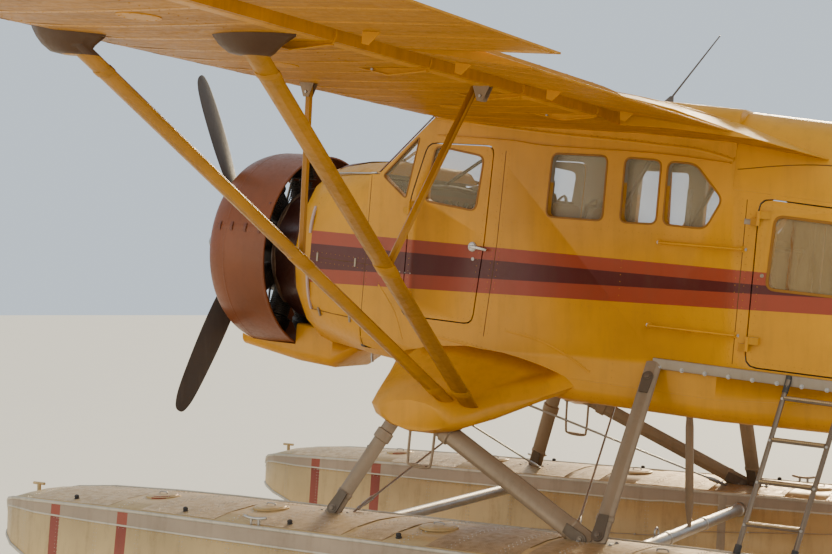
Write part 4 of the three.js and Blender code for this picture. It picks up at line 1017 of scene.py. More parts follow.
# Each section: the width times a cosine and the thickness times a sharpened sine, turned by the twist
def makeBlade(degrees):
    rows = smoothCurve(propeller["rows"], 52)
    run, side = bladeFrame(degrees)
    t = fullTurn(28)
    u = np.cos(t) * rows[:, 1:2] / 2
    sharper = 0.5 + 0.5 * np.sin(t) ** 2
    w = np.sin(t) * np.where(np.sin(t) < 0, 0.86, 1.0) * sharper * rows[:, 2:3] / 2
    root = np.clip((rows[:, 0:1] - 0.1) / 0.2, 0, 1)
    w = w * root + (1 - root) * np.sin(t) * rows[:, 2:3] / 2
    a = np.radians(rows[:, 3:4])
    aheadBy = u * np.sin(a) + w * np.cos(a)
    acrossBy = u * np.cos(a) - w * np.sin(a)
    rings = (rows[:, 0][:, None, None] * run + acrossBy[..., None] * side
             + aheadBy[..., None] * (1.0, 0, 0))
    return solid(rings)


def makePropeller():
    blades = [makeBlade(degrees) for degrees in propeller["angles"]]
    airPiece("propeller_blades", blades, "propeller_paint", body="propeller", replaces=["propeller"],
             sharp=60)
    hubParts = [turned(propeller["dome"], sides=64)]
    bright = []
    for degrees in propeller["angles"]:
        run, side = bladeFrame(degrees)
        hubParts.append(turned([(0.085, 0.058), (0.1, 0.066), (0.128, 0.066), (0.134, 0.06), (0.14, 0.066),
                                (0.168, 0.066), (0.176, 0.054)], axis=run, sides=36))
        hubParts.append(sweep([run * 0.118 + side * 0.066, run * 0.118 + side * 0.1],
                              roundBox(0.044, 0.052, 0.01), (1, 0, 0)))
        for off in (-0.035, 0.035):
            bright.append(boltsAt([run * 0.15 + (0.058, 0, 0) + side * off], (1, 0, 0), 0.008, 0.01))
    airPiece("propeller_hub", hubParts, "bare_aluminium", body="propeller", sharp=35)
    ring = np.arange(0, 360, 45)
    centres = xyz(0.0615, 0.104 * np.cos(np.radians(ring)), 0.104 * np.sin(np.radians(ring)))
    bright.append(boltsAt(centres, (1, 0, 0), 0.007, 0.008))
    airPiece("propeller_bolts", bright, "stay_steel", body="propeller")


# Nine-cylinder radial: case, finned barrels and heads, rocker boxes, pushrod tubes, ignition ring and leads
radial = {
    "case": [(-0.5995, 0.3), (-0.56, 0.32), (-0.345, 0.32), (-0.325, 0.306), (-0.3, 0.252), (-0.285, 0.244),
             (-0.2, 0.2), (-0.165, 0.18), (-0.12, 0.1), (-0.085, 0.086), (-0.064, 0.07)],
    "x": -0.43,
    "barrelFins": 13,
    "headFins": 9,
}


def cylinderParts(a):  # one cylinder at angle a from port; its fins are steps of radius in turned profiles
    out = np.array([0, math.cos(a), math.sin(a)])
    across = np.array([0, -math.sin(a), math.cos(a)])
    at = np.array([radial["x"], 0, 0])
    barrel = [(0.3, 0.082), (0.312, 0.082)]
    for k in range(radial["barrelFins"]):
        r = 0.326 + k * 0.0145
        barrel += [(r, 0.07), (r + 0.002, 0.08), (r + 0.0045, 0.08), (r + 0.0065, 0.07)]
    head = [(0.52, 0.074), (0.522, 0.104), (0.528, 0.104), (0.53, 0.08)]
    for k in range(radial["headFins"]):
        r = 0.538 + k * 0.0108
        wide = 0.106 - 0.0022 * k
        head += [(r, 0.082 - 0.002 * k), (r + 0.0015, wide), (r + 0.004, wide),
                 (r + 0.0055, 0.082 - 0.002 * k)]
    head += [(0.636, 0.058), (0.64, 0.02)]
    fins = [turned(barrel, at, out, 26), turned(head, at, out, 26)]
    boxes, tubes = [], []

    def spot(reach, aside, ahead=0):
        return at + out * reach + across * aside + (ahead, 0, 0)

    for sign in (-1, 1):
        box = spot(0.618, 0.052 * sign)
        path = [box + (-0.05, 0, 0), box + (0.046, 0, 0)]
        boxes.append(sweep(path, roundBox(0.052, 0.046, 0.014), out))
        boxes.append(turned([(0, 0.022), (0.006, 0.022), (0.009, 0.015)], box + (0.044, 0, 0),
                            (1, 0, 0), 16))
        foot = spot(0.262, 0.04 * sign, 0.118)
        top = box + (0.03, 0, 0) - out * 0.02
        tubes.append(tube(np.linspace(foot, top, 5), 0.0095, 10))
        tubes.append(tube(np.linspace(foot, foot + (top - foot) * 0.09, 3), 0.014, 10))
        plug = spot(0.56, 0.03 * sign, 0.094)
        tubes.append(tube([plug - (0.03, 0, 0), plug + (0.018, 0, 0)], 0.01, 6))
    lead = smoothCurve([spot(0.3, 0.03, 0.158), spot(0.4, 0.075, 0.15), spot(0.52, 0.06, 0.135),
                        spot(0.56, 0.03, 0.108)], 14)
    return fins, boxes, tubes, [tube(lead, 0.005, 7)]


def makeEngine():
    case = turned(smoothCurve(radial["case"], 44), sides=72)
    fins, boxes, tubes, leads = [], [], [], []
    angles = math.pi / 2 - 2 * math.pi * np.arange(9) / 9
    for a in angles:
        for found, made in zip((fins, boxes, tubes, leads), cylinderParts(a)):
            found += made
    airPiece("engine_cylinders", fins, "engine_metal", replaces=["engine"], sharp=30)
    airPiece("engine_case", [case] + boxes, "crankcase", sharp=35)
    ring = np.radians(np.arange(0, 360, 5.0))
    hoop = xyz(-0.276, 0.3 * np.cos(ring), 0.3 * np.sin(ring))
    airPiece("ignition_ring", [sweep(hoop, circle(0.013, 10), (1, 0, 0), closed=True)] + leads,
             "exhaust_steel")
    airPiece("engine_pushrods", tubes, "bare_aluminium")
    bolts = []
    for x, radius, count in ((-0.302, 0.278, 27), (-0.162, 0.158, 18)):
        a = fullTurn(count)
        bolts.append(xyz(x, radius * np.cos(a), radius * np.sin(a)))
    airPiece("engine_bolts", [boltsAt(np.vstack(bolts), (1, 0, 0), 0.0055, 0.012)], "stay_steel")
    a = np.radians(np.linspace(-52, 232, 60))  # collector ring behind the cylinders
    manifold = xyz(-0.585, 0.43 * np.cos(a), 0.43 * np.sin(a))
    airPiece("exhaust_collector", [tube(manifold, 0.036, 14, (1, 0, 0))], "exhaust_steel")


makeCowl()
makePropeller()
makeEngine()
print("cowl, propeller and engine ready")


# Cabin: glass, frames, doors' fittings, seams, handles and rails, placed on the port side and mirrored.
# Outlines are (x, z) corners in the fuselage frame
openingsOf = {
    "cockpitWindow": [(-1.98, 0.765), (-1.925, 0.425), (-2.295, 0.385), (-2.325, 0.715)],
    "quarterPane": [(-1.59, 0.565), (-1.848, 0.822), (-1.776, 0.428)],
    "rearWindow": [(-4.18, 0.475), (-4.165, 0.085), (-4.78, 0.075), (-4.78, 0.44)],
    "strip0": [(-2.8, 0.755), (-2.79, 0.385), (-3.15, 0.385), (-3.15, 0.755)],
    "strip1": [(-3.27, 0.752), (-3.27, 0.385), (-3.485, 0.39), (-3.485, 0.745)],
    "strip2": [(-3.535, 0.742), (-3.535, 0.392), (-3.78, 0.385), (-3.865, 0.555), (-3.69, 0.735)],
    "cockpitDoor": [(-1.915, 0.79), (-1.812, 0.425), (-1.812, -0.32), (-2.345, -0.32), (-2.385, 0.2),
                    (-2.4, 0.79)],
    "cabinDoor": [(-4.075, 0.575), (-4.075, -0.36), (-4.96, -0.36), (-4.96, 0.515)],
}
trim = {"frameWidth": 0.013, "frameHeight": 0.003, "paneDepth": 0.012, "paneThickness": 0.004}


def grown(corners, by):  # an outline moved out from its middle
    corners = floats(corners)
    return corners + np.sign(corners - corners.mean(0)) * by


def windowFrame(name, radius=0.045, width=None):  # a band round the opening's rounded outline
    width = width or trim["frameWidth"]
    loop = roundedLoop(grown(openingsOf[name], width * 0.35), radius + width * 0.3)
    return sideStrip(loop, width, trim["frameHeight"], closed=True, step=0.05)


def pane(name, radius=0.045):  # the opening's outline on the skin, moved in by the pane's depth
    loop = roundedLoop(grown(openingsOf[name], 0.006), radius)
    points, _ = onSide(along(loop, 0.03, closed=True))
    return plate(points - (0, trim["paneDepth"], 0), (0, -1, 0), trim["paneThickness"])


def makeGlass():
    airPair("cockpit_pane", [pane("cockpitWindow")], "clearGlass", body="cockpit_door")
    airPair("cockpit_pane_frame", [windowFrame("cockpitWindow")], "frameTrim", body="cockpit_door")
    airPair("rear_pane", [pane("rearWindow")], "dewGlass", body="cabin_door")
    airPair("rear_pane_frame", [windowFrame("rearWindow", width=0.016)], "frameTrim", body="cabin_door")
    airPair("quarter_pane", [pane("quarterPane", 0.025)], "clearGlass")
    frames = [windowFrame("quarterPane", 0.025, 0.01)]
    frames += [windowFrame(f"strip{k}", 0.04, 0.012) for k in range(3)]
    airPair("window_frames", frames, "frameTrim")
    foot = (-1.3, 0.0, 0.676)
    knee = (-1.56, 0.64, 0.585)
    head = (-1.95, 0.661, 0.954)
    top = (-1.8, 0.0, 1.018)
    normal = unit(np.cross(np.subtract(knee, foot), np.subtract(top, foot)))
    normal = normal if normal[0] > 0 else -normal
    frame = []
    for a, b, width in ((foot, knee, 0.03), (knee, head, 0.028), (head, top, 0.03)):
        path = np.linspace(a, b, 12) + normal * 0.012
        frame.append(strip(path, normal, width, 0.003))
    post = np.linspace(foot, top, 8) + (0.016, 0, 0.01)
    airPair("windshield_frame", frame, "antiGlare")
    airPiece("windshield_post", [strip(post, (0.6, 0, 0.8), 0.04, 0.004)], "antiGlare")
    dots = [rivets(np.linspace(a, b, 20)[1:-1] + normal * 0.015, normal, 0.004, 0.002)
            for a, b in ((foot, knee), (knee, head))]
    airPair("windshield_screws", dots, "bare_aluminium")


# Door handle: a rose, a stem and a lever that tapers aft
def handle(x, z):
    at, normal = onSide((x, z))
    rose = turned([(-0.003, 0.03), (0.003, 0.03), (0.006, 0.024), (0.008, 0.012)], at, normal, 28)
    stem = turned([(0.004, 0.01), (0.03, 0.009), (0.034, 0.004)], at, normal, 18)
    lever = [at + normal * 0.028 + (0.01, 0, 0), at + normal * 0.03 - (0.03, 0, 0.002),
             at + normal * 0.03 - (0.075, 0, 0.006), at + normal * 0.024 - (0.112, 0, 0.012)]
    return [rose, stem, sweep(smoothCurve(lever, 14), roundBox(0.018, 0.008, 0.0035), normal)]


def keyhole(x, z):
    at, normal = onSide((x, z))
    return turned([(-0.002, 0.011), (0.002, 0.011), (0.003, 0.008), (0.0015, 0.006), (0.0015, 0.001)], at,
                  normal, 20)


def makeDoors():
    rows = [("cockpitDoor", "cockpit_door", (-2.3, 0.16), (-2.31, 0.085), 0.03),
            ("cabinDoor", "cabin_door", (-4.87, 0.01), (-4.885, -0.065), 0.034)]
    for door, body, lever, lock, inset in rows:
        outline = roundedLoop(grown(openingsOf[door], -inset), 0.045)
        airPair(f"{body}_rivets", [sideRivets(outline, 0.04, 0.0034, 0.0014, closed=True)], "yellowRivets",
                body=body)
        airPair(f"{body}_handle", handle(*lever) + [keyhole(*lock)], "bare_aluminium", body=body)
        seal = roundedLoop(grown(openingsOf[door], 0.004), 0.062)
        path, normal = onSide(along(seal, 0.05, closed=True), -0.02)
        airPair(f"{body}_seal", [sweep(path, circle(0.0055, 8), normal, closed=True)], "rubber")
    stiffener = []
    for z in (0.3, -0.12):  # pressed channels on the inner face of the cockpit door
        path, normal = onSide(along([(-1.87, z), (-2.3, z)], 0.05), -0.052)
        stiffener.append(strip(path, -normal, 0.03, 0.006))
    airPair("cockpit_door_channels", stiffener, "strut_paint", body="cockpit_door")


# A thin tube rail on a post in its middle, with a flanged foot at each end
def grabRail(front, rear, z, radius=0.008, stands=0.036):
    places = np.linspace((front, z), (rear, z), 24)
    path, _ = onSide(places, stands)
    ends, endNormal = onSide([(front + 0.012, z), (rear - 0.012, z)], 0.0)
    path = np.vstack([ends[:1], ends[:1] + endNormal[:1] * stands * 0.75, path,
                      ends[1:] + endNormal[1:] * stands * 0.75, ends[1:]])
    parts = [tube(smoothCurve(path, 70), radius, 12, (0, 0, 1))]
    parts += [turned([(-0.002, 0.017), (0.003, 0.017), (0.006, 0.011)], at, n, 20)
              for at, n in zip(ends, endNormal)]
    middle, middleNormal = onSide([((front + rear) / 2, z)])
    parts.append(tube([middle[0], middle[0] + middleNormal[0] * stands], 0.006, 10))
    return parts


def makeFittings():
    airPair("grab_rails", grabRail(-3.54, -4.0, 0.285) + grabRail(-3.52, -4.0, -0.19), "yellow_paint")
    bolts = [onSide([(x, z)]) for x, z in ((-3.515, 0.285), (-4.025, 0.285), (-3.495, -0.19),
                                           (-4.025, -0.19))]
    airPair("grab_rail_bolts", [boltsAt(p, n, 0.007, 0.006) for p, n in bolts], "stay_steel")
    # Light cover over the ladder rail, with bolts along its lower edge
    railX = np.linspace(-3.556, -5.004, 40)
    railPath = xyz(railX, sideAt(railX, -0.1) + 0.0125, -0.3995)
    airPair("rail_cover", [sweep(railPath, roundBox(0.0285, 0.059, 0.004), (0, 0, 1))], "railGrey")
    boltX = np.arange(-3.6, -4.98, -0.135)
    centres = xyz(boltX, sideAt(boltX, -0.1) + 0.027, -0.421)
    airPair("rail_bolts", [boltsAt(centres, (0, 1, 0), 0.0085, 0.009)], "stay_steel")
    # Drip rail above the door and the windows
    dripX = [(-1.985, 0.835), (-2.51, 0.822), (-2.76, 0.8), (-3.45, 0.786), (-3.9, 0.752)]
    path, normal = onSide(along(smoothCurve(dripX, 30), 0.05), 0.005)
    airPair("drip_rail", [sweep(path, roundBox(0.006, 0.016, 0.002), normal)], "yellow_paint")
    # A small plate and a round port behind the strip windows
    small = [sideStrip([(-4.005, 0.44), (-4.062, 0.436)], 0.03, 0.004), keyhole(-4.13, 0.15)]
    airPair("vent_plates", small, "railGrey")


# Seams of the nose bay, of the side panels and of the stub's blend, as flat laps with fasteners along them
def makeSeams():
    sealTop = [(-1.02, z) for z in np.linspace(0.33, 0.15, 8)]
    sealLow = [(-1.02, z) for z in np.linspace(-0.04, -0.36, 12)]
    airPair("nose_seal", [sideStrip(sealTop, 0.022, 0.006), sideStrip(sealLow, 0.022, 0.006)], "seal")
    lines = [
        [(-1.03, 0.552), (-1.27, 0.56), (-1.56, 0.572)],
        [(-1.03, -0.004), (-1.3, -0.012), (-1.59, -0.02)],
        [(-1.03, -0.36), (-1.3, -0.372), (-1.5, -0.38)],
        [(-1.5, 0.56), (-1.5, -0.56)],
        [(-2.48, 0.76), (-2.47, 0.2), (-2.43, -0.38)],
        [(-4.01, 0.56), (-4.01, -0.35)],
    ]
    airPair("panel_seams", [sideStrip(line, 0.0045, 0.0008) for line in lines], "seam")
    laps = [
        [(-2.08, -0.42), (-2.4, -0.455), (-2.7, -0.51), (-2.96, -0.57)],
        [(-2.58, -0.33), (-2.78, -0.352), (-2.94, -0.4), (-3.06, -0.455), (-3.16, -0.51)],
        [(-1.62, -0.14), (-1.76, -0.3), (-1.84, -0.47)],
    ]
    curves = [smoothCurve(lap, 26) for lap in laps]
    airPair("stub_laps", [sideStrip(curve, 0.012, 0.002) for curve in curves], "yellow_paint")
    rows = [
        [(-1.045, 0.52), (-1.045, 0.35)],
        [(-1.045, -0.06), (-1.045, -0.34)],
        [(-1.06, 0.03), (-1.48, 0.016)],
        [(-1.06, -0.035), (-1.48, -0.046)],
        [(-1.518, 0.54), (-1.518, -0.54)],
        [(-2.455, 0.74), (-2.445, 0.2), (-2.405, -0.36)],
        [(-2.505, 0.74), (-2.495, 0.2), (-2.455, -0.36)],
        [(-2.78, -0.64), (-3.3, -0.655), (-4.0, -0.648), (-4.6, -0.618), (-5.25, -0.555)],
        [(-2.56, 0.33), (-3.98, 0.33)],
        [(-2.56, -0.12), (-3.98, -0.13)],
        [(-3.2, 0.7), (-3.2, 0.35)],
        [(-3.3, 0.32), (-3.3, -0.6)],
        [(-3.985, 0.56), (-3.985, -0.35)],
        [(-4.035, 0.56), (-4.035, -0.35)],
    ]
    heads = [sideRivets(row, 0.04, 0.0032, 0.0014) for row in rows]
    heads += [sideRivets(curve[:, :2] + (0, 0.012), 0.034, 0.0034, 0.0018) for curve in curves]
    airPair("side_rivets", heads, "yellowRivets")
    screws = sideRivets([(-1.62, -0.035), (-1.86, -0.045)], 0.038, 0.0055, 0.0025)
    airPair("panel_screws", [screws], "bare_aluminium")
    hinge, _ = onSide(along([(-1.04, 0.562), (-1.54, 0.578)], 0.02), 0.004)
    airPair("nose_hinge", [tube(hinge, 0.005, 8)], "bare_aluminium")
    airPair("nose_latches", [sideStrip([(x, z + 0.028), (x, z - 0.028)], 0.016, 0.005)
                             for x, z in ((-1.1, -0.004), (-1.42, -0.014), (-1.1, -0.372), (-1.4, -0.38))],
            "railGrey")


# Rivets in hoops round the rear fuselage and over the roof, and in rows along it
def makeHoops():
    heads = []
    for x in (-4.62, -5.3, -5.95, -6.6, -7.25, -7.85, -8.45):
        half, bottom, top, low, high = (float(v) for v in bodyAt(x))
        z = np.linspace(bottom + low, top - high, 14)
        side = xyz(x, half, z)
        a = np.linspace(0, math.pi / 2, 9)[1:]
        crown = xyz(x, half - high + high * np.cos(a), top - high + high * np.sin(a))
        over = xyz(x, np.linspace(half - high, 0, 6)[1:], top)
        b = np.linspace(math.pi / 2, 0, 9)[:-1]
        foot = xyz(x, half - low + low * np.cos(b), bottom + low - low * np.sin(b))
        under = xyz(x, np.linspace(0, half - low, 6)[:-1], bottom)
        loop = np.vstack([under, foot, side, crown, over])
        if x > -4.95:
            loop = loop[loop[:, 2] > 0.6]
        run = along(loop, 0.036, keep=False)
        normal = unit(run * (0, 1, 1) - (0, 0, (bottom + top) / 2))
        flat = np.abs(run[:, 1]) > half - 0.002
        normal[flat] = (0, 1, 0)
        heads += [rivets(run + (step, 0, 0), normal, 0.0034, 0.0016) for step in (0.012, -0.012)]
    for high in (0.62, 0.4, 0.18, -0.02):
        runX = np.arange(-5.34, -8.6, -0.045)
        half, bottom, top, low, upper = bodyAt(runX)
        z = bottom + low + (top - upper - bottom - low) * (high + 0.2)
        heads.append(rivets(xyz(runX, half, z), (0, 1, 0), 0.0032, 0.0014))
    airPair("rear_hoops", heads, "yellowRivets")


# Roof: anti-glare deck, root fairing's edge, seam, rivets, dome, and screws in the aerial's foot
def makeRoof():
    share, y = np.meshgrid(np.linspace(0, 1, 30), np.linspace(-0.33, 0.33, 41), indexing="ij")
    xs = -1.0 - share * (0.282 + 0.39 * np.abs(y))  # ends along the windshield's foot
    z = roofAt(xs, y)
    deck = xyz(xs, y, z + 0.0012)
    under = deck[:, ::-1] - (0, 0, 0.003)
    rings = np.concatenate([deck, under], 1)
    airPiece("anti_glare_deck", [solid(rings)], "antiGlare")
    edge = smoothCurve([(-1.96, 0.938), (-2.7, 0.88), (-3.22, 0.851), (-3.476, 0.834), (-3.71, 0.817),
                        (-3.915, 0.77)], 40)
    path = xyz(edge[:, 0], 0.684, edge[:, 1])
    airPair("root_fillet_edge", [strip(path, (0, 1, 0), 0.016, 0.0025)], "yellow_paint")
    dots = along(path, 0.04, keep=False) + (0, 0.002, 0.012)
    airPair("root_fillet_rivets", [rivets(dots, (0, 1, 0), 0.0036, 0.002)], "yellowRivets")
    seam = smoothCurve([(-3.94, 0.722), (-4.452, 0.768), (-5.29, 0.7)], 24)
    airPair("roof_seams", [sideStrip(seam, 0.005, 0.001)], "seam")
    heads = []
    for x in (-3.96, -4.0, -4.56, -4.6):
        y = np.arange(-0.44, 0.45, 0.04)
        heads.append(rivets(xyz(x, y, roofAt(x, y)), (0, 0, 1), 0.0036, 0.0022))
    runX = np.arange(-3.99, -8.5, -0.045)
    for y in (-0.05, 0.05):
        heads.append(rivets(xyz(runX, y, roofAt(runX, y)), (0.05, 0, 1), 0.0032, 0.0018))
    airPiece("roof_rivets", heads, "yellowRivets")
    domeAt = np.array([-2.84, 0.2, float(wingZ(-2.84, 0.692, 1)) - 0.002])
    profile = [(-0.004, 0.062), (0.006, 0.06), (0.03, 0.052), (0.046, 0.034), (0.053, 0.01)]
    airPiece("roof_dome", [turned(profile, domeAt, (0, 0, 1), 36)], "mast_paint")
    screws = [(x, y, float(wingZ(x, 0.692, 1)) + 0.004) for x in (-3.13, -3.19, -3.25)
              for y in (-0.014, 0.014)]
    airPiece("mast_foot_screws", [rivets(screws, (0, 0, 1), 0.005, 0.003)], "stay_steel")


makeGlass()
makeDoors()
makeFittings()
makeSeams()
makeHoops()
makeRoof()
print("cabin glass, doors, seams and rails ready")


# Wings: rivets along ribs and spars, tapes over the ribs, covers, and what hangs below
wing = {
    "ribs": np.linspace(1.04, 6.86, 20),
    "frontX": -1.83,
    "rearX": -3.335,
    "spars": (-2.14, -3.08),
    "plates": [(-2.62, 1.55), (-2.62, 3.1), (-2.45, 5.05), (-2.9, 4.3), (-2.62, 6.3)],
    # length, angle, inner and outer end
    "flap": (0.598, 0.083 + math.radians(6.2), 1.012, 3.294),
    "aileron": (0.718, 0.083, 3.306, 6.888),
}


def hingeZ(y):  # the chord line carried back to the hinge, raised by a share of the tip's chord
    return (wingShape["noseZ"] + wingShape["rise"] * (np.abs(y) - wingShape["rootY"])
            - (wingShape["nose"] - surfaceHinge) * wingShape["incidence"] + 0.0152 * wingChords[-1])


# A point on a flap or aileron: d behind the hinge, on a flank that narrows from nose to trailing edge
def onSurface(kind, d, y, side, lift=0.0):
    length, angle, _, _ = wing[kind]
    d, y = np.broadcast_arrays(floats(d), floats(y))
    w = side * (0.0453 + (0.004 - 0.0453) * np.clip(d, 0, length) / length + lift)
    c, s = math.cos(angle), math.sin(angle)
    points = xyz(surfaceHinge - d * c - w * s, y, hingeZ(y) - d * s + w * c)
    return points, np.broadcast_to(np.array([-s * side, 0, c * side]), points.shape)


def makeWingDetail():
    heads, tapes = [], []
    for side in (-1, 1):
        for y in wing["ribs"]:
            heads.append(wingRivets([(wing["frontX"], y), (wing["rearX"], y)], 0.046, side, 0.0036, 0.0018))
            tapes.append(wingStrip([(-1.8, y), (wing["rearX"], y)], 0.034, 0.0007, side))
        for x in wing["spars"]:
            heads.append(wingRivets([(x, 0.74), (x, 6.88)], 0.05, side, 0.0036, 0.0018))
        tapes.append(wingStrip([(-1.905, 0.72), (-1.905, 6.88)], 0.01, 0.0008, side))
        tapes.append(wingStrip([(-3.3, 1.02), (-3.3, 6.88)], 0.06, 0.0009, side))
    airPair("wing_rivets", heads, "yellowRivets")
    airPair("wing_tapes", tapes, "yellow_paint")
    covers = []
    for x, y in wing["plates"]:
        at, normal = onWing((x, y), -1)
        covers.append(turned([(-0.004, 0.085), (0.002, 0.085), (0.0032, 0.081), (0.0032, 0.06),
                              (0.0022, 0.01)], at, normal, 40))
        a = fullTurn(10)
        places = np.stack([x + 0.072 * np.cos(a), y + 0.072 * np.sin(a)], -1)
        covers.append(rivets(*onWing(places, -1, 0.003), 0.005, 0.002))
    for x, y in ((-2.7, 1.3), (-2.7, 2.1)):  # filler caps on top
        at, normal = onWing((x, y), 1)
        covers.append(turned([(-0.004, 0.06), (0.004, 0.06), (0.006, 0.052), (0.016, 0.046), (0.02, 0.036),
                              (0.021, 0.006)], at, normal, 32))
    airPair("wing_covers", covers, "yellow_paint")
    # Lapped root strips under and over the wing
    root = [wingStrip([(-1.99, 0.735), (-3.9, 0.735)], 0.022, 0.002, -1),
            wingStrip([(-1.86, 0.735), (-3.9, 0.735)], 0.022, 0.002, 1)]
    airPair("wing_root_strips", root, "yellow_paint")


# Hinge brackets below the wing: a plate that narrows from the skin towards the hinge, flanged along its edge
def makeBrackets():
    plates, pins = [], []
    for y in flapStations + aileronStations:
        z = float(hingeZ(y))
        end = surfaceHinge + 0.056  # in front of the surface's nose at every angle
        outline = [(-2.98, float(wingZ(-2.98, y, -1)) + 0.004), (-3.15, float(wingZ(-3.15, y, -1)) - 0.03),
                   (-3.29, z - 0.098), (end + 0.018, z - 0.092), (end, z - 0.06), (end, z - 0.02),
                   (end + 0.02, z - 0.006), (-3.33, z - 0.02)]
        plates.append(plate([(x, y - 0.0045, height) for x, height in outline], (0, 1, 0), 0.009))
        flange = [(x, y, height) for x, height in outline[:4]]
        plates.append(strip(along(flange, 0.03), (0, 0, -1), 0.024, 0.0025))
        for x, height in ((-3.06, float(wingZ(-3.06, y, -1)) - 0.006), (-3.24, z - 0.06)):
            pins.append(tube([(x, y - 0.011, height), (x, y + 0.011, height)], 0.007, 8))
    airPair("hinge_brackets", plates, "yellow_paint")
    airPair("bracket_pins", pins, "stay_steel")


def makeSurfaces():
    for kind, joints in (("flap", flapStations), ("aileron", aileronStations)):
        length, _, inner, outer = wing[kind]
        heads, tapes = [], []
        for y in np.linspace(inner + 0.05, outer - 0.05, 9 if kind == "flap" else 13):
            if min(abs(y - at) for at in joints) < 0.03:
                y += 0.045
            d = np.arange(0.03, length - 0.04, 0.042)
            run = np.linspace(0.02, length - 0.02, 14)
            for side in (-1, 1):
                heads.append(rivets(*onSurface(kind, d, y, side), 0.0034, 0.0016))
                tapes.append(strip(*onSurface(kind, run, y, side), 0.026, 0.0007))
        yRun = np.arange(inner + 0.03, outer - 0.02, 0.045)
        for side in (-1, 1):
            heads.append(rivets(*onSurface(kind, length - 0.028, yRun, side), 0.0032, 0.0016))
        airPair(f"{kind}_rivets", heads, "yellowRivets", body=kind)
        airPair(f"{kind}_tapes", tapes, "yellow_paint", body=kind)
        rods = []
        for y in joints:  # control rod horn on the lower flank
            at, _ = onSurface(kind, (0.1, 0.13, 0.18), y + 0.04, -1, 0.002)
            horn = [at[0], at[0] - (0, 0, 0.045), at[1] - (0, 0, 0.05), at[2]]
            rods.append(plate(horn, (0, 1, 0), 0.006))
        airPair(f"{kind}_horns", rods, "yellow_paint", body=kind)


def makeWingFittings():
    lamp = turned([(-0.004, 0.022), (0.004, 0.026), (0.02, 0.024), (0.036, 0.014), (0.041, 0.004)],
                  (-2.56, 7.8, 1.118), (0.25, 0.9, 0.1), 28)
    airPiece("port_lamp", [lamp], "redLamp")
    airPiece("starboard_lamp", [mirrorY(lamp)], "greenLamp")
    probe = smoothCurve([(-2.0, 5.5, float(wingZ(-2.0, 5.5, -1)) + 0.002), (-1.985, 5.5, 0.905),
                         (-1.93, 5.5, 0.868), (-1.8, 5.5, 0.862), (-1.64, 5.5, 0.862)], 30)
    airPiece("pitot_tube", [tube(probe, 0.009, 12, (0, 1, 0))], "bare_aluminium")
    # Two small plates with a bolt at the wing end of each jury strut
    lugs, bolts = [], []
    for x in (-2.27, -3.29):
        at, _ = onWing((x, 2.42), -1)
        wedge = np.array([at + (0.046, 0, 0.004), at + (-0.046, 0, 0.004), at + (-0.016, 0, -0.07),
                          at + (0.016, 0, -0.07)])
        lugs.append(plate(wedge - (0, 0.019, 0), (0, 1, 0), 0.004))
        lugs.append(plate(wedge + (0, 0.015, 0), (0, 1, 0), 0.004))
        bolts.append(tube([at + (0, -0.026, -0.046), at + (0, 0.026, -0.046)], 0.007, 8))
    airPair("jury_lugs", lugs, "strut_paint")
    airPair("jury_bolts", bolts, "stay_steel")


makeWingDetail()
makeBrackets()
makeSurfaces()
makeWingFittings()
print("wings ready")


# Floats, in the model's frame. Columns: distance behind the bow, half beam at the chine, keel, chine,
# half deck, deck edge, crown
floatRows = np.array([
    [0.000, 0.130, 0.540, 0.580, 0.120, 0.650, 0.656],
    [0.040, 0.185, 0.500, 0.572, 0.172, 0.745, 0.752],
    [0.092, 0.235, 0.462, 0.560, 0.222, 0.822, 0.834],
    [0.230, 0.320, 0.365, 0.530, 0.295, 0.848, 0.872],
    [0.520, 0.410, 0.225, 0.465, 0.370, 0.864, 0.898],
    [1.070, 0.460, 0.090, 0.415, 0.405, 0.876, 0.912],
    [1.570, 0.478, 0.022, 0.396, 0.415, 0.880, 0.918],
    [1.970, 0.482, 0.000, 0.390, 0.418, 0.880, 0.920],
    [3.720, 0.482, 0.000, 0.390, 0.418, 0.880, 0.920],
    [3.721, 0.478, 0.095, 0.430, 0.418, 0.880, 0.920],
    [5.120, 0.440, 0.275, 0.515, 0.400, 0.878, 0.912],
    [6.520, 0.300, 0.470, 0.620, 0.275, 0.864, 0.888],
    [7.770, 0.095, 0.690, 0.725, 0.088, 0.838, 0.846],
])
hatches = (1.3, 2.18, 3.38, 4.72, 5.9)  # behind the bow


def floatAt(back):  # every column between its rows, along straight lines
    return [np.interp(back, floatRows[:, 0], floatRows[:, k]) for k in range(1, 7)]


# The deck falls from the crown to its edge in two straight facets; s runs from -1 inboard to 1 outboard
def onDeck(back, s, lift=0.0):
    back, s = np.broadcast_arrays(floats(back), floats(s))
    _, _, _, deck, edge, crown = floatAt(back)
    knee = crown - (crown - edge) * 0.25
    a = np.abs(s)
    z = np.where(a < 0.5, crown + (knee - crown) * a * 2, knee + (edge - knee) * (a * 2 - 1))
    slope = np.where(a < 0.5, (crown - knee), (knee - edge)) / (0.5 * deck) * np.sign(s)
    normal = unit(xyz(0, slope, 1))
    return xyz(bowX - back, floatY + s * deck, z) + lift * normal, normal


def onFloatSide(back, share, outer=1, lift=0.0):  # share: 0 just above the chine, 1 at the deck's edge
    back, share = np.broadcast_arrays(floats(back), floats(share))
    beam, _, chine, deck, edge, _ = floatAt(back)
    low, foot = beam - 0.006, chine + 0.03
    y = outer * (low * (1 - share) + deck * share)
    normal = unit(xyz(0, outer * (edge - foot), low - deck))
    return xyz(bowX - back, floatY + y, foot * (1 - share) + edge * share) + lift * normal, normal


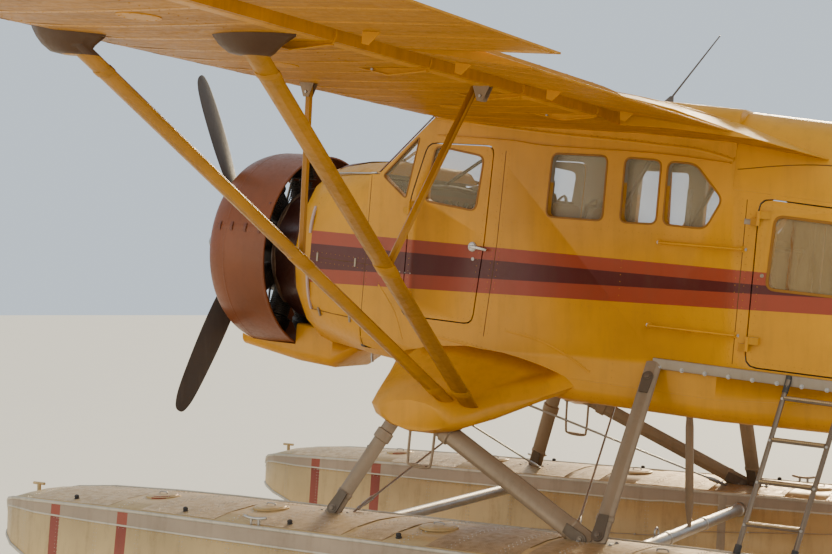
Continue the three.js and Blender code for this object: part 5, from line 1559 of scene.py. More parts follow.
def onBottom(back, share, outer=1):  # share: 0 at the keel, 1 at the chine
    back, share = np.broadcast_arrays(floats(back), floats(share))
    beam, keel, chine, _, _, _ = floatAt(back)
    y = np.where(share < 0.5, 0.014 + (beam * 0.55 - 0.014) * share * 2,
                 beam * (0.55 + 0.45 * (share * 2 - 1)))
    z = np.where(share < 0.5, keel + 0.62 * (chine - keel) * share * 2,
                 keel + (chine - keel) * (0.62 + 0.38 * (share * 2 - 1)))
    normal = unit(xyz(0, outer * (chine - keel) * 0.9, -np.maximum(beam, 0.1)))
    return xyz(bowX - back, floatY + outer * y, z), normal


def skinPatch(top, normal, thickness):  # a thin plate over a grid of points on a skin
    under = (top - normal * thickness)[:, ::-1]
    return solid(np.concatenate([top + normal * 0.0003, under], 1))


def makeFloatDecks():
    panels = []
    spans = [(0.42, 1.16), (1.44, 2.04), (2.32, 2.96), (3.0, 3.24), (3.52, 4.06), (4.1, 4.58), (4.86, 5.34)]
    for start, end in spans:
        back, s = np.meshgrid(np.linspace(start, end, 16), np.linspace(-0.88, 0.88, 13), indexing="ij")
        points, normal = onDeck(back, s)
        panels.append(skinPatch(points + normal * 0.0012, normal, 0.003))
    floatPair("deck_treads", panels, "treads")
    heads = []
    for back in np.arange(0.36, 7.4, 0.3):
        s = np.linspace(-0.95, 0.95, 19)
        for step in (-0.014, 0.014):
            heads.append(rivets(*onDeck(back + step, s, 0.0012), 0.0042, 0.003))
    run = np.arange(0.2, 7.65, 0.034)
    for s in (-0.955, 0.955):
        heads.append(rivets(*onDeck(run, s), 0.0036, 0.0026))
    floatPair("deck_rivets", heads, "floatRivets")


def makeFloatSides():
    bands, mouldings, heads = [], [], []
    for outer in (-1, 1):
        back, share = np.meshgrid(np.concatenate([np.linspace(0.06, 0.6, 14), np.linspace(0.7, 7.7, 60)]),
                                  np.linspace(0.8, 0.985, 4), indexing="ij")
        points, normal = onFloatSide(back, share, outer)
        bands.append(skinPatch(points + normal * 0.001, normal, 0.003))
        run = np.concatenate([np.linspace(0.045, 0.6, 16), np.linspace(0.68, 7.76, 70)])
        edge, edgeNormal = onFloatSide(run, 1.0, outer)
        mouldings.append(sweep(edge, roundBox(0.02, 0.016, 0.006), edgeNormal))
        low, lowNormal = onFloatSide(run, 0.795, outer, 0.001)
        mouldings.append(sweep(low, roundBox(0.012, 0.005, 0.002), lowNormal))
        chine, chineNormal = onFloatSide(run, -0.06, outer)
        mouldings.append(sweep(chine, roundBox(0.022, 0.02, 0.007), chineNormal))
        for back in np.arange(0.4, 7.5, 0.36):
            share = np.linspace(0.05, 0.76, 13)
            for step in (-0.011, 0.011):
                heads.append(rivets(*onFloatSide(back + step, share, outer), 0.0036, 0.0022))
            share = np.linspace(0.06, 0.94, 13)
            heads.append(rivets(*onBottom(back, share, outer), 0.0036, 0.002))
        rows = np.arange(0.12, 7.7, 0.04)
        heads.append(rivets(*onFloatSide(rows, 0.03, outer), 0.0034, 0.0022))
        heads.append(rivets(*onFloatSide(rows, 0.76, outer), 0.0034, 0.0022))
    floatPair("float_bands", bands, "sheer")
    floatPair("float_mouldings", mouldings, "floatTrim")
    floatPair("float_rivets", heads, "floatRivets")


def makeFloatFittings():
    covers, dark, plugs = [], [], []
    for back in hatches:
        at, _ = onDeck(back, 0.0)
        covers.append(turned([(-0.006, 0.112), (0.004, 0.112), (0.007, 0.106), (0.007, 0.094), (0.011, 0.09),
                              (0.014, 0.05), (0.0145, 0.004)], at, (0, 0, 1), 48))
        handle = [at + (x, 0, z) for x, z in ((0.03, 0.012), (0.026, 0.026), (-0.026, 0.026), (-0.03, 0.012))]
        dark.append(tube(smoothCurve(handle, 16), 0.0045, 8, (0, 1, 0)))
        a = fullTurn(12)
        ring = at + xyz(0.1 * np.cos(a), 0.1 * np.sin(a), 0.006)
        dark.append(rivets(ring, (0, 0, 1), 0.0045, 0.003))
    for back in (0.8, 1.75, 2.55, 3.3, 4.35, 5.2, 6.1):
        at, normal = onDeck(back, 0.7)
        plugs.append(turned([(-0.004, 0.018), (0.003, 0.018), (0.006, 0.013), (0.016, 0.016), (0.024, 0.013),
                             (0.028, 0.004)], at, normal, 18))
    cleat = []
    for back in (2.36, 4.5, 6.7):  # mooring cleats along the deck
        at, _ = onDeck(back, 0.9 if back < 6 else 0.0)
        for off in (-0.028, 0.028):
            cleat.append(tube([at + (off, 0, -0.004), at + (off, 0, 0.034)], 0.009, 10))
        horn = [at + (x, 0, z) for x, z in ((-0.085, 0.048), (-0.05, 0.04), (0, 0.037), (0.05, 0.04),
                                            (0.085, 0.048))]
        cleat.append(tube(smoothCurve(horn, 18), [0.004] + [0.0085] * 16 + [0.004], 10, (0, 1, 0)))
    floatPair("float_hatches", covers, "float_paint")
    floatPair("float_hatch_handles", dark, "stay_steel")
    floatPair("bilge_plugs", plugs, "rubber")
    floatPair("float_cleats", cleat, "bare_aluminium")
    # Latch plate and strap on the inner sides, and the steering cable that runs along them
    at, normal = onFloatSide((5.62, 5.72), 0.55, -1)
    small = [strip(at, normal, 0.09, 0.004)]
    strap, strapNormal = onFloatSide(4.18, np.linspace(0.0, 1.0, 10), -1)
    small.append(strip(strap, strapNormal, 0.06, 0.004))
    floatPair("float_inner_plates", small, "railGrey")
    cable, _ = onFloatSide(np.linspace(1.95, 7.6, 40), np.linspace(0.1, 0.72, 40), -1, 0.016)
    eyes, eyeNormal = onFloatSide(np.linspace(1.95, 7.6, 8), np.linspace(0.1, 0.72, 8), -1)
    guides = [tube([p, p + n * 0.02], 0.006, 8) for p, n in zip(eyes, eyeNormal)]
    floatPair("steering_cables", [tube(cable, 0.0025, 6)] + guides, "stay_steel")


makeFloatDecks()
makeFloatSides()
makeFloatFittings()
print("floats ready")


# Struts, stays, ladder and spreaders, in the model's frame
stubLow = fus((-2.1, 1.06, -0.88))
stubLowRear = fus((-2.33, 1.05, -0.88))
bodyLow = fus((-3.56, 0.69, -0.4))
frontFoot = np.array([fittingX["front"], 1.322, 0.9])
rearFoot = np.array([fittingX["rear"], 1.29, 0.9])
floatStruts = [(frontFoot, stubLow, 0.105, 0.048), (rearFoot, bodyLow, 0.1, 0.046),
               (rearFoot + (0.04, 0, 0), stubLowRear, 0.115, 0.052)]


# A streamlined ring about a strut's axis: round nose, tail drawn in, its chord along X as the run allows
def strutRing(at, run, width, thickness, sides=22):
    ahead = unit((1.0, 0, 0) - run * run[0])
    across = np.cross(run, ahead)
    t = np.arange(sides) * 2 * math.pi / sides
    taper = np.where(np.cos(t) > 0, 1, 1 + 0.35 * np.cos(t))
    return at + np.outer(np.cos(t) * width / 2, ahead) + np.outer(np.sin(t) * thickness * taper / 2, across)


# A sleeve round a strut from near to far along it, wider than the strut by grow
def cuff(a, b, near, far, width, thickness, grow=0.008):
    run = unit(np.subtract(b, a))
    levels = [(near, 0.0), (near + 0.006, grow), (far - 0.006, grow), (far, 0.0)]
    rings = [strutRing(np.asarray(a) + run * d, run, width + 2 * g, thickness + 2 * g) for d, g in levels]
    return solid(np.stack(rings))


def fork(at, run, width, reach=0.1, apart=0.06):  # two rounded ears and the bolt through them
    run = unit(floats(run))
    out = unit((0, 1.0, 0) - run * run[1])
    ahead = np.cross(out, run)
    a = np.linspace(-math.pi / 2, math.pi / 2, 9)
    rounded = [-run * width * 0.5 * math.cos(v) + ahead * width * 0.5 * math.sin(v) for v in a]
    loop = np.array([at + r for r in rounded] + [at + run * reach + ahead * width * 0.4,
                                                 at + run * reach - ahead * width * 0.4])
    ears = [plate(loop + out * side * apart / 2 - out * 0.004, out, 0.008) for side in (-1, 1)]
    bolt = [tube([at - out * (apart / 2 + 0.014), at + out * (apart / 2 + 0.014)], 0.01, 10),
            stamped(hexBolt(0.015, 0.01), [at + out * (apart / 2 + 0.005)], (1, 0, 0), [out]),
            stamped(hexBolt(0.015, 0.01), [at - out * (apart / 2 + 0.005)], (1, 0, 0), [-out])]
    return ears, bolt


def makeStrutFittings():
    ears, bolts, cuffs = [], [], []
    for foot, head, width, thickness in floatStruts:
        run = unit(head - foot)
        lug, bolt = fork(foot + run * 0.045, run, 0.07, 0.12, thickness + 0.016)
        ears += lug
        bolts += bolt
        length = np.linalg.norm(head - foot)
        cuffs.append(cuff(foot, head, 0.135, 0.17, width, thickness, 0.004))
        if head is bodyLow:
            lug, bolt = fork(foot + run * (length - 0.105), -run, 0.066, 0.1, thickness + 0.014)
            ears += lug
            bolts += bolt
        else:
            cuffs.append(cuff(foot, head, length - 0.19, length - 0.12, width, thickness, 0.01))
    floatPair("float_strut_forks", ears, "darkFitting")
    floatPair("float_strut_bolts", bolts, "ladderPaint")
    floatPair("float_strut_cuffs", cuffs, "strut_paint")
    # Deck fittings: a base plate with bolts under each foot
    bases, heads = [], []
    for x, y in ((fittingX["front"], 1.322), (fittingX["rear"], 1.29)):
        bases.append(block((x - 0.115, y - 0.062, 0.862), (x + 0.115, y + 0.062, 0.914), 0.012))
        spots = [(x + dx, y + dy, 0.914) for dx in (-0.095, 0.095) for dy in (-0.042, 0.042)]
        heads.append(boltsAt(spots, (0, 0, 1), 0.009, 0.009))
    floatPair("strut_bases", bases, "darkFitting")
    floatPair("strut_base_bolts", heads, "stay_steel")


wingStrutRuns = [((-2.47, 1.09, -0.76), (-2.14, 3.85, 0.91)), ((-2.606, 1.092, -0.752), (-3.081, 3.85, 0.91))]


def makeWingStrutFittings():  # cover plates round the feet, and bands
    feet, bands = [], []
    for foot, mark in wingStrutRuns:
        foot, mark = np.array(foot), np.array(mark)
        length = np.linalg.norm(mark - foot)
        share = (2.42 - foot[1]) / (mark - foot)[1]
        feet.append(cuff(foot, mark, 0.15, 0.215, 0.118, 0.054, 0.004))
        bands.append(cuff(foot, mark, length - 0.165, length - 0.13, 0.118, 0.054, 0.004))
        bands.append(cuff(foot, mark, length * share - 0.05, length * share + 0.05, 0.118, 0.054, 0.0035))
    airPair("wing_strut_feet", feet, "wingStrut")
    airPair("wing_strut_bands", bands, "wingStrut")


def turnbuckle(foot, head, start=0.1):  # a turned barrel that starts at a distance up the rod
    run = unit(np.subtract(head, foot))
    profile = [(0, 0.009), (0.01, 0.0125), (0.03, 0.0125), (0.045, 0.009), (0.06, 0.014), (0.15, 0.014),
               (0.165, 0.009), (0.185, 0.009), (0.19, 0.0075)]
    return turned([(d + start, r) for d, r in profile], foot, run, 14)


def makeStays():
    front, rear = fittingX["front"], fittingX["rear"]
    ends = [((front - 0.095, 1.262, 0.89), (front - 0.25, -0.86, 1.66)),
            ((rear + 0.16, 1.23, 0.89), (front - 0.93, -0.9, 1.64))]
    barrels = []
    for foot, head in ends:
        for mirror in (1, -1):
            shift = np.array([0.012 * mirror, 0, 0])
            a, b = np.multiply(foot, (1, mirror, 1)) + shift, np.multiply(head, (1, mirror, 1)) + shift
            barrels.append(turnbuckle(a, b))
            barrels.append(tube([b - unit(b - a) * 0.22, b - unit(b - a) * 0.06], 0.0115, 8))
    piece("turnbuckles", barrels, "stay_steel", "airframe")
    # Sockets where the spreaders meet the floats, bands on the rear spreader and a ring above it
    spreaderZ = 0.785
    sockets = []
    for x in (front, rear):
        for side in (-1, 1):
            sockets.append(turned([(0, 0.06), (0.012, 0.06), (0.016, 0.048), (0.07, 0.046), (0.076, 0.039)],
                                  (x, side * 1.01, spreaderZ), (0, -side, 0), 32))
            a = fullTurn(8)
            spots = xyz(x + 0.053 * np.cos(a), side * 0.999, spreaderZ + 0.053 * np.sin(a))
            sockets.append(rivets(spots, (0, -side, 0), 0.006, 0.004))
    for y in (-0.3, 0.3):
        sockets.append(turned([(-0.022, 0.0385), (-0.02, 0.042), (0.02, 0.042), (0.022, 0.0385)],
                              (rear, y, spreaderZ), (0, 1, 0), 28))
    loopT = fullTurn(26)
    eye = xyz(rear + 0.02, 0.42 + 0.03 * np.cos(loopT), 0.835 + 0.026 * np.sin(loopT))
    sockets.append(sweep(eye, circle(0.006, 8), (1, 0, 0), closed=True))
    piece("spreader_sockets", sockets, "bare_aluminium", "airframe")


def makeLadder():
    tops = [fus((-4.34, 0.706, -0.392)), fus((-4.64, 0.697, -0.392))]
    feet = [np.array([fittingX["front"] - 2.4, 1.018, 0.87]),
            np.array([fittingX["front"] - 2.7, 1.018, 0.87])]
    treads, ends, caps = [], [], []
    for k in range(4):
        share = (k + 0.75) / 4.2
        front, rear = (foot + (top - foot) * share for foot, top in zip(feet, tops))
        run = unit(rear - front)
        path = np.linspace(front + run * 0.012, rear - run * 0.012, 6) + (0, 0, 0.008)
        treads.append(sweep(path, roundBox(0.05, 0.01, 0.003), (0, 0, 1)))
        for at in (front, rear):
            ends.append(tube([at - (0, 0.02, 0), at + (0, 0.02, 0)], 0.0075, 8))
    for foot, top in zip(feet, tops):
        run = unit(top - foot)
        caps.append(turned([(0.012, 0.0155), (0.016, 0.0185), (0.06, 0.0185), (0.064, 0.0155)], foot, run,
                           18))
        hook = [top - run * 0.075, top - run * 0.03 + (0, -0.006, 0.004), top + (0, -0.012, 0.02)]
        caps.append(tube(smoothCurve(hook, 10), 0.017, 12))
    piece("ladder_treads", treads, "treads", "airframe")
    piece("ladder_pins", ends, "stay_steel", "airframe")
    piece("ladder_caps", caps, "rubber", "airframe")


# Stirrup steps below the stubs, and the belly's drain spout
def makeStirrups():
    drop = [(-2.2, 1.06, -0.925), (-2.204, 1.07, -1.12), (-2.225, 1.074, -1.165), (-2.345, 1.074, -1.165),
            (-2.368, 1.07, -1.12), (-2.372, 1.06, -0.915)]
    steps = [tube(smoothCurve(drop, 46), 0.0085, 10, (0, 1, 0))]
    steps.append(sweep([(-2.228, 1.074, -1.158), (-2.342, 1.074, -1.158)], roundBox(0.04, 0.008, 0.003),
                       (0, 0, 1)))
    for x in (-2.2, -2.372):
        steps.append(turned([(-0.01, 0.02), (0.01, 0.02), (0.014, 0.01)], (x, 1.059, -0.925), (0, 0, -1), 18))
    airPair("stirrup_steps", steps, "strut_paint")
    drain = [(-1.37, 0.3, -0.6), (-1.37, 0.302, -0.65), (-1.378, 0.304, -0.69)]
    spout = tube(smoothCurve(drain, 10), 0.01, 10, (0, 1, 0))
    flange = turned([(-0.004, 0.024), (0.004, 0.024), (0.007, 0.014)], (-1.37, 0.3, -0.618), (0, 0, -1), 20)
    airPiece("belly_drains", [spout, flange], "stay_steel")


makeStrutFittings()
makeWingStrutFittings()
makeStays()
makeLadder()
makeStirrups()
print("struts, stays and ladder ready")


# Cabin interior

seats = {
    "chairs": ["pilot_seat", "copilot_seat"],
    "chairY": 0.31,
    # cloth: cell of the mesh, inner pressure, frames, and how far a point may move
    "voxel": 0.015,
    "pressure": 4.0,
    "frames": 20,
    "swell": 0.01,
    # low and high corners of each cushion, and its tilt back in degrees about the low rear edge
    "chairPads": [((-2.56, -0.215, -0.325), (-2.06, 0.215, -0.225), 0),
                  ((-2.64, -0.205, -0.19), (-2.56, 0.205, 0.49), 11.5)],
    "benchPads": [((-3.855, -0.555, -0.295), (-3.385, 0.555, -0.185), 0),
                  ((-3.905, -0.545, -0.16), (-3.835, 0.545, 0.31), 9.5)],
}


def power(w, p):  # the size of w to a power, with the sign of w
    return np.sign(w) * np.abs(w) ** p


# A cushion's form before it is blown up: a ball whose sines and cosines are raised to small powers,
# which makes it a box with softly rounded edges
def cushionForm(low, high, tilt, counts=(14, 56)):
    low, high = floats(low), floats(high)
    mid, half = (low + high) / 2, (high - low) / 2
    v = np.linspace(-math.pi / 2, math.pi / 2, counts[0])[:, None]
    u = fullTurn(counts[1])
    reach = power(np.cos(v), 0.3)
    points = xyz(reach * power(np.cos(u), 0.3), reach * power(np.sin(u), 0.3),
                 power(np.sin(v), 0.45)) * half + mid
    c, s = math.cos(math.radians(tilt)), math.sin(math.radians(tilt))
    base = np.array([low[0], 0, low[2]])
    x, y, z = np.moveaxis(points - base, -1, 0)
    return solid((xyz(x * c - z * s, y, x * s + z * c) + base)[1:-1])


def evaluated(obj):  # the mesh that the object's modifiers give
    return bpy.data.meshes.new_from_object(obj.evaluated_get(bpy.context.evaluated_depsgraph_get()))


def cornersOf(mesh):  # the mesh's points as an n x 3 array
    corners = np.empty(len(mesh.vertices) * 3, np.float32)
    mesh.vertices.foreach_get("co", corners)
    return corners.reshape(-1, 3)


def blowUp(obj):  # cloth under inner pressure, kept near its start
    remesh = obj.modifiers.new("remesh", "REMESH")
    remesh.mode = "VOXEL"
    remesh.voxel_size = seats["voxel"]
    mesh = evaluated(obj)
    obj.modifiers.clear()
    obj.data = mesh
    cloth = obj.modifiers.new("cloth", "CLOTH")
    cloth.settings.use_pressure = True
    cloth.settings.uniform_pressure_force = seats["pressure"]
    cloth.settings.effector_weights.gravity = 0
    cloth.settings.tension_stiffness = 25
    cloth.settings.bending_stiffness = 2.0
    cloth.point_cache.frame_start = 1
    cloth.point_cache.frame_end = seats["frames"]
    scene = bpy.context.scene
    for step in range(1, seats["frames"] + 1):
        scene.frame_set(step)
    start = cornersOf(mesh)
    move = cornersOf(evaluated(obj)) - start
    obj.modifiers.clear()
    scene.frame_set(1)
    far = np.linalg.norm(move, axis=1, keepdims=True)
    move *= np.minimum(1, seats["swell"] / np.maximum(far, 1e-6))
    mesh.vertices.foreach_set("co", (start + move).ravel())
    mesh.materials.append(finishes["seat_cloth"])
    mesh.polygons.foreach_set("use_smooth", np.ones(len(mesh.polygons), bool))
    mesh.update()
    soft = obj.modifiers.new("soft", "SUBSURF")
    soft.levels = soft.render_levels = 1


def makeCushion(name, spot, offsetY, node):
    points, faces = cushionForm(*spot)
    obj = piece(name, [(fus(points + (0, offsetY, 0)), faces)], "seat_cloth", "airframe", replaces=[node])
    blowUp(obj)


def seatFrame(y, half, front, back, base, top):  # a tube frame under and behind the cushions
    legs = []
    for side in (-1, 1):
        edge = y + side * half
        legs.append(tube([(front, edge, base), (front, edge, -0.335), (back, edge, -0.335),
                          (back, edge, base)], 0.012, 10, (0, 1, 0)))
        legs.append(tube([(back, edge, -0.335), (back - 0.045, edge, -0.1), (back - 0.15, edge, top)],
                         0.012, 10, (0, 1, 0)))
        legs.append(tube([(front, edge, -0.45), (back, edge, -0.45)], 0.008, 8, (0, 1, 0)))
    for x, z in ((front, -0.335), (back, -0.335), (back - 0.15, top), (back - 0.098, (top - 0.1) / 2 - 0.03)):
        legs.append(tube([(x, y - half, z), (x, y + half, z)], 0.011, 10))
    return legs


def beltStrap(y):  # two straps over the chair's back that hang onto the cushion
    straps = []
    for side in (-1, 1):
        path = [(-2.7, y + side * 0.075, 0.3), (-2.69, y + side * 0.075, 0.5),
                (-2.655, y + side * 0.078, 0.512), (-2.61, y + side * 0.082, 0.42),
                (-2.545, y + side * 0.09, 0.05), (-2.47, y + side * 0.1, -0.19)]
        straps.append(sweep(smoothCurve(path, 40), roundBox(0.042, 0.004, 0.0015), (1, 0, 0.2)))
    return straps


cockpit = {
    "panelX": -1.708,
    # y, z and radius of each plain dial
    "dials": [(y, z, 0.04) for ys in ((-0.4, -0.3, -0.2), (0.2, 0.3, 0.4)) for z in (0.4, 0.29) for y in ys]
             + [(y, 0.42, 0.028) for y in (-0.07, 0.0, 0.07)] + [(y, 0.34, 0.028) for y in (-0.07, 0.07)],
}


def makeCockpit():
    x = cockpit["panelX"]
    rims, faces, marks = [], [], []
    for i, (y, z, radius) in enumerate(cockpit["dials"]):
        at = (x, y, z)
        rim = [(0.004, radius), (-0.01, radius), (-0.014, radius - 0.004), (-0.01, radius - 0.006),
               (0.004, radius - 0.006)]
        rims.append(turned(rim, at, (1, 0, 0), 28, closed=True))
        faces.append(turned([(0.002, radius - 0.005), (-0.005, radius - 0.005)], at, (1, 0, 0), 28))
        a = np.radians(30 + 47 * i)
        reach = radius * 0.72
        needle = [(x - 0.0065, y, z), (x - 0.0065, y + reach * math.cos(a), z + reach * math.sin(a))]
        marks.append(tube(needle, [0.0022, 0.0008], 6))
        ring = fullTurn(12)
        spots = xyz(x - 0.005, y + radius * 0.74 * np.cos(ring), z + radius * 0.74 * np.sin(ring))
        marks.append(rivets(spots, (-1, 0, 0), 0.0016, 0.0006))
    loop = roundedLoop([(-0.5, 0.22), (0.5, 0.22), (0.5, 0.47), (-0.5, 0.47)], 0.03, 4)
    board = plate(xyz(x + 0.004, loop[:, 0], loop[:, 1]), (-1, 0, 0), 0.006)
    airPiece("instrument_board", [board], "antiGlare")
    airPiece("dial_rims", rims, "panel_paint")
    airPiece("dial_faces", faces, "dialFace")
    airPiece("dial_marks", marks, "dial")
    # Padded glare shield above the panel: a bowed lip
    y = np.linspace(-0.56, 0.56, 40)
    bow = xyz(-1.705 + 0.05 * (y / 0.56) ** 2, y, 0.528 - 0.05 * (y / 0.56) ** 2)
    airPiece("glare_shield_lip", [sweep(bow, circle(0.018, 12), (0, 0, 1))], "rubber")
    # Throw-over column with a wheel each side, throttle levers, pedals
    arms, wheels, levers = [], [], []
    arms.append(tube([(-1.72, 0, 0.1), (-1.88, 0, 0.09)], 0.02, 14))
    for side in (-1, 1):
        arms.append(tube([(-1.87, side * 0.01, 0.09), (-1.9, side * 0.3, 0.13)], 0.014, 12))
        t = np.linspace(math.radians(-40), math.radians(220), 34)
        rim = xyz(-1.945, side * 0.305 + 0.135 * np.cos(t), 0.15 + 0.115 * np.sin(t))
        wheels.append(tube(rim, 0.0125, 12, (1, 0, 0)))
        spokes = [[(-1.945, side * 0.305, 0.15), (-1.945, side * 0.305 + 0.13 * k, 0.13)] for k in (-1, 1)]
        wheels += [tube(line, 0.01, 10) for line in spokes]
        wheels.append(turned([(-0.02, 0.02), (0.02, 0.024), (0.026, 0.018)], (-1.935, side * 0.305, 0.15),
                             (-1, 0, 0), 20))
        for k in (-1, 1):
            y = side * 0.31 + k * 0.09
            levers.append(tube([(-1.64, y, -0.53), (-1.6, y, -0.38), (-1.61, y, -0.31)], 0.01, 8, (0, 1, 0)))
            levers.append(tube([(-1.615, y - 0.045, -0.32), (-1.615, y + 0.045, -0.32)], 0.013, 10))
    for k in range(4):
        y = -0.045 + k * 0.03
        levers.append(tube([(-1.712, y, 0.15), (-1.77, y, 0.19 - 0.012 * k)], 0.004, 8, (0, 1, 0)))
        levers.append(turned([(-0.01, 0.006), (0, 0.012), (0.014, 0.012), (0.02, 0.006)],
                             (-1.772, y, 0.192 - 0.012 * k), (-1, 0, 0.5), 14))
    airPiece("control_columns", arms, "panel_paint")
    airPiece("control_wheels", wheels, "rubber")
    airPiece("levers_and_pedals", levers, "stay_steel")
    airPiece("windshield_brace", [tube([(-1.655, 0, 0.545), (-2.06, 0, 0.82)], 0.012, 12)], "panel_paint")


# Tube frames under the cushions, belts, and the cabin's own frames inside the skin
def makeCabinFit():
    places = (-seats["chairY"], seats["chairY"])
    frames = [part for y in places for part in seatFrame(y, 0.2, -2.08, -2.52, -0.655, 0.48)]
    airPiece("chair_frames", frames, "panel_paint")
    airPiece("bench_frame", seatFrame(0, 0.53, -3.43, -3.83, -0.655, 0.3), "panel_paint")
    airPiece("seat_belts", [part for y in places for part in beltStrap(y)], "strap")
    lining = []
    for x in (-2.76, -3.64, -4.02):  # cabin frames: hoops inside the skin
        t = np.linspace(0, 1, 20)
        wall = xyz(x, 0.61 - 0.03 * t, -0.45 + 1.05 * t)
        lining += bothSides([sweep(wall, roundBox(0.03, 0.02, 0.004), (0, 1, 0))])
    airPiece("cabin_hoops", lining, "panel_paint")
    braces = bothSides([tube([(-3.402, 0.585, 0.8), (-2.873, 0.6, -0.3)], 0.013, 12)])
    airPiece("cabin_braces", braces, "panel_paint")
    rails = bothSides([tube([(-1.9, 0.585, 0.14), (-3.6, 0.59, 0.14)], 0.008, 8)])
    airPiece("cabin_side_rails", rails, "panel_paint")


for seatName, seatY in zip(seats["chairs"], (seats["chairY"], -seats["chairY"])):
    makeCushion(seatName + "_cushion", seats["chairPads"][0], seatY, seatName)
    makeCushion(seatName + "_back", seats["chairPads"][1], seatY, seatName)
makeCushion("bench_cushion", seats["benchPads"][0], 0, "cabin_bench")
makeCushion("bench_back", seats["benchPads"][1], 0, "cabin_bench")
makeCockpit()
makeCabinFit()
print("interior ready")


# Tail

tail = {
    # height, foremost x and thickness of the fin
    "fin": [(0.5, -7.65, 0.06), (0.76, -8.01, 0.06), (1.25, -8.3, 0.052), (1.68, -8.5, 0.042),
            (1.88, -8.64, 0.026)],
    "finRear": -8.845,
    # height, chord, nose radius and tail thickness of the rudder
    "rudderX": -8.89,
    "rudder": [(-0.04, 0.11, 0.018, 0.009), (0.12, 0.45, 0.026, 0.009), (0.6, 0.545, 0.028, 0.008),
               (1.2, 0.55, 0.026, 0.007), (1.64, 0.46, 0.02, 0.006), (1.86, 0.29, 0.014, 0.005)],
    "planeZ": 0.33,
    # span place, set-back of the nose and share of the thickness
    "plane": [(0.09, 0.0, 1.0), (1.5, -0.04, 0.9), (2.05, -0.16, 0.7), (2.24, -0.32, 0.45)],
    "planeNose": -7.82,
    "elevatorX": -8.72,
    # span place, nose radius and chord of the elevator
    "elevator": [(0.128, 0.03, 0.18), (0.4, 0.03, 0.42), (1.5, 0.027, 0.43), (2.05, 0.02, 0.36),
                 (2.26, 0.012, 0.16)],
}


def rowsAt(rows, at):  # the further columns between their rows, along straight lines
    rows = np.array(rows)
    return [np.interp(at, rows[:, 0], rows[:, k]) for k in range(1, rows.shape[1])]


# Ribs on the rudder: strips from the nose to the tail edge, half thickness falling along a straight line
def rudderRib(z, side, width=0.016):
    chord, nose, end = rowsAt(tail["rudder"], z)
    share = np.linspace(0.1, 0.93, 9)
    half = nose + (end / 2 - nose) * share
    path = xyz(tail["rudderX"] - share * chord, side * half, z)
    return strip(path, (0, side, 0), width, 0.0009)


def elevatorRib(y, side, width=0.016):  # the rudder's formula, on the elevator's upper or lower face
    radius, chord = rowsAt(tail["elevator"], y)
    share = np.linspace(0.1, 0.9, 8)
    half = radius + (0.004 - radius) * share
    path = xyz(tail["elevatorX"] - share * chord, y, tail["planeZ"] + side * half)
    return strip(path, (0, 0, side), width, 0.0009)


# Half thickness through three places along the chord, less towards the tip
def planeRib(y, side, width=0.018):
    back, share = rowsAt(tail["plane"], y)
    nose = tail["planeNose"] + back
    x = np.linspace(nose - 0.05, -8.655, 14)
    half = np.interp(-x, [-nose + 0.04, -nose + 0.2, 8.67], [0.024, 0.042, 0.032]) * share
    path = xyz(x, float(y), tail["planeZ"] + side * half)
    return path, strip(path, (0, 0, side), width, 0.0008)


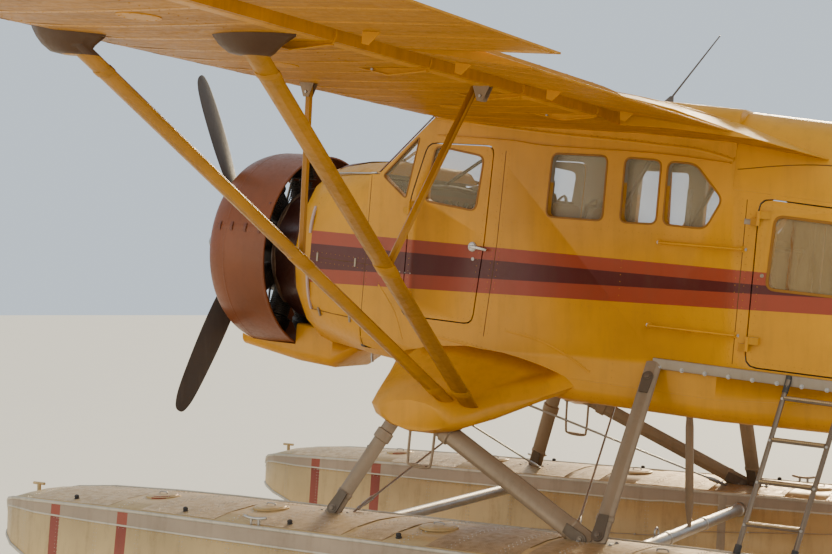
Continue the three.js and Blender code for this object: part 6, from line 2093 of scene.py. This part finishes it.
def makeTail():
    rudder, elevators, planes, heads, fin = [], [], [], [], []
    for side in (-1, 1):
        rudder += [rudderRib(z, side) for z in np.arange(0.2, 1.8, 0.2)]
        elevators += [elevatorRib(y, side) for y in np.arange(0.45, 2.1, 0.235)]
        for y in np.arange(0.3, 2.15, 0.26):
            path, band = planeRib(y, side)
            planes.append(band)
            dense = along(path + (0, 0, side * 0.0006), 0.042, keep=False)
            heads.append(rivets(dense, (0, 0, side), 0.0036, 0.0018))
        for z in np.arange(0.62, 1.8, 0.22):
            nose, thick = rowsAt(tail["fin"], z)
            x = np.linspace(nose - 0.06, tail["finRear"] + 0.03, 10)
            path = xyz(x, side * thick / 2, z)
            fin.append(strip(path, (0, side, 0), 0.018, 0.0008))
            dense = along(path + (0, side * 0.0006, 0), 0.042, keep=False)
            fin.append(rivets(dense, (0, side, 0), 0.0036, 0.0018))
    airPiece("rudder_ribs", rudder, "yellow_paint", "rudder")
    airPiece("elevator_ribs", bothSides(elevators), "yellow_paint", "elevators")
    airPiece("tailplane_ribs", bothSides(planes), "yellow_paint")
    airPiece("tailplane_rivets", bothSides(heads), "yellowRivets")
    airPiece("fin_ribs", fin, "yellow_paint")
    # Trim tabs with their push rods, and the white lamp at the rudder's edge
    y, z = 0.62, tail["planeZ"]
    loop = roundedLoop([(-9.085, y), (-9.085, y + 0.46), (-9.128, y + 0.46), (-9.128, y)], 0.006, 2)
    tabs = [plate(xyz(loop[:, 0], loop[:, 1], z + 0.004), (0, 0, 1), 0.0022)]
    rods = [tube([(-8.8, y + 0.23, z + 0.036), (-9.095, y + 0.23, z + 0.018)], 0.004, 8),
            block((-9.108, y + 0.222, z + 0.003), (-9.088, y + 0.238, z + 0.024), 0.002)]
    airPiece("elevator_tabs", bothSides(tabs), "railGrey", "elevators")
    airPiece("elevator_tab_rods", bothSides(rods), "stay_steel", "elevators")
    chord = float(rowsAt(tail["rudder"], 0.95)[0])
    lampX = tail["rudderX"] - chord
    airPiece("tail_lamp_socket", [turned([(-0.03, 0.01), (0, 0.016), (0.006, 0.016), (0.008, 0.012)],
                                         (lampX + 0.024, 0, 0.95), (-1, 0, 0), 20)], "rubber", "rudder")
    airPiece("tail_lamp", [turned([(0.0, 0.012), (0.005, 0.0115), (0.009, 0.007), (0.01, 0.002)],
                                  (lampX + 0.018, 0, 0.95), (-1, 0, 0), 18)], "clearLamp", "rudder")


makeTail()
print("tail ready")


# Floor


def addFloor():  # rings of growing radius over a lower copy of them
    radii = np.array([0.02, 20, 45, 90.0])
    t = fullTurn(72)
    rings = np.stack([xyz(r * np.cos(t), r * np.sin(t), -0.0005) for r in radii])
    under = rings[::-1] + (0, 0, -0.2)
    points, faces = solid(np.concatenate([rings, under]))
    mesh = bpy.data.meshes.new("floor")
    mesh.from_pydata(points.tolist(), [], [list(map(int, f)) for fs in faces for f in fs])
    floor = bpy.data.objects.new("floor", mesh)
    bpy.context.scene.collection.objects.link(floor)
    material, tree, shader = newMaterial("floorFinish")
    shade = blendColour(tree, noise(tree, objectPlace(tree), 1.3), studio["floor"],
                        tuple(v * 0.97 for v in studio["floor"]))
    feed(shader, {"Base Color": shade, "Roughness": 0.8})
    mesh.materials.append(material)


addFloor()
dressNodes()
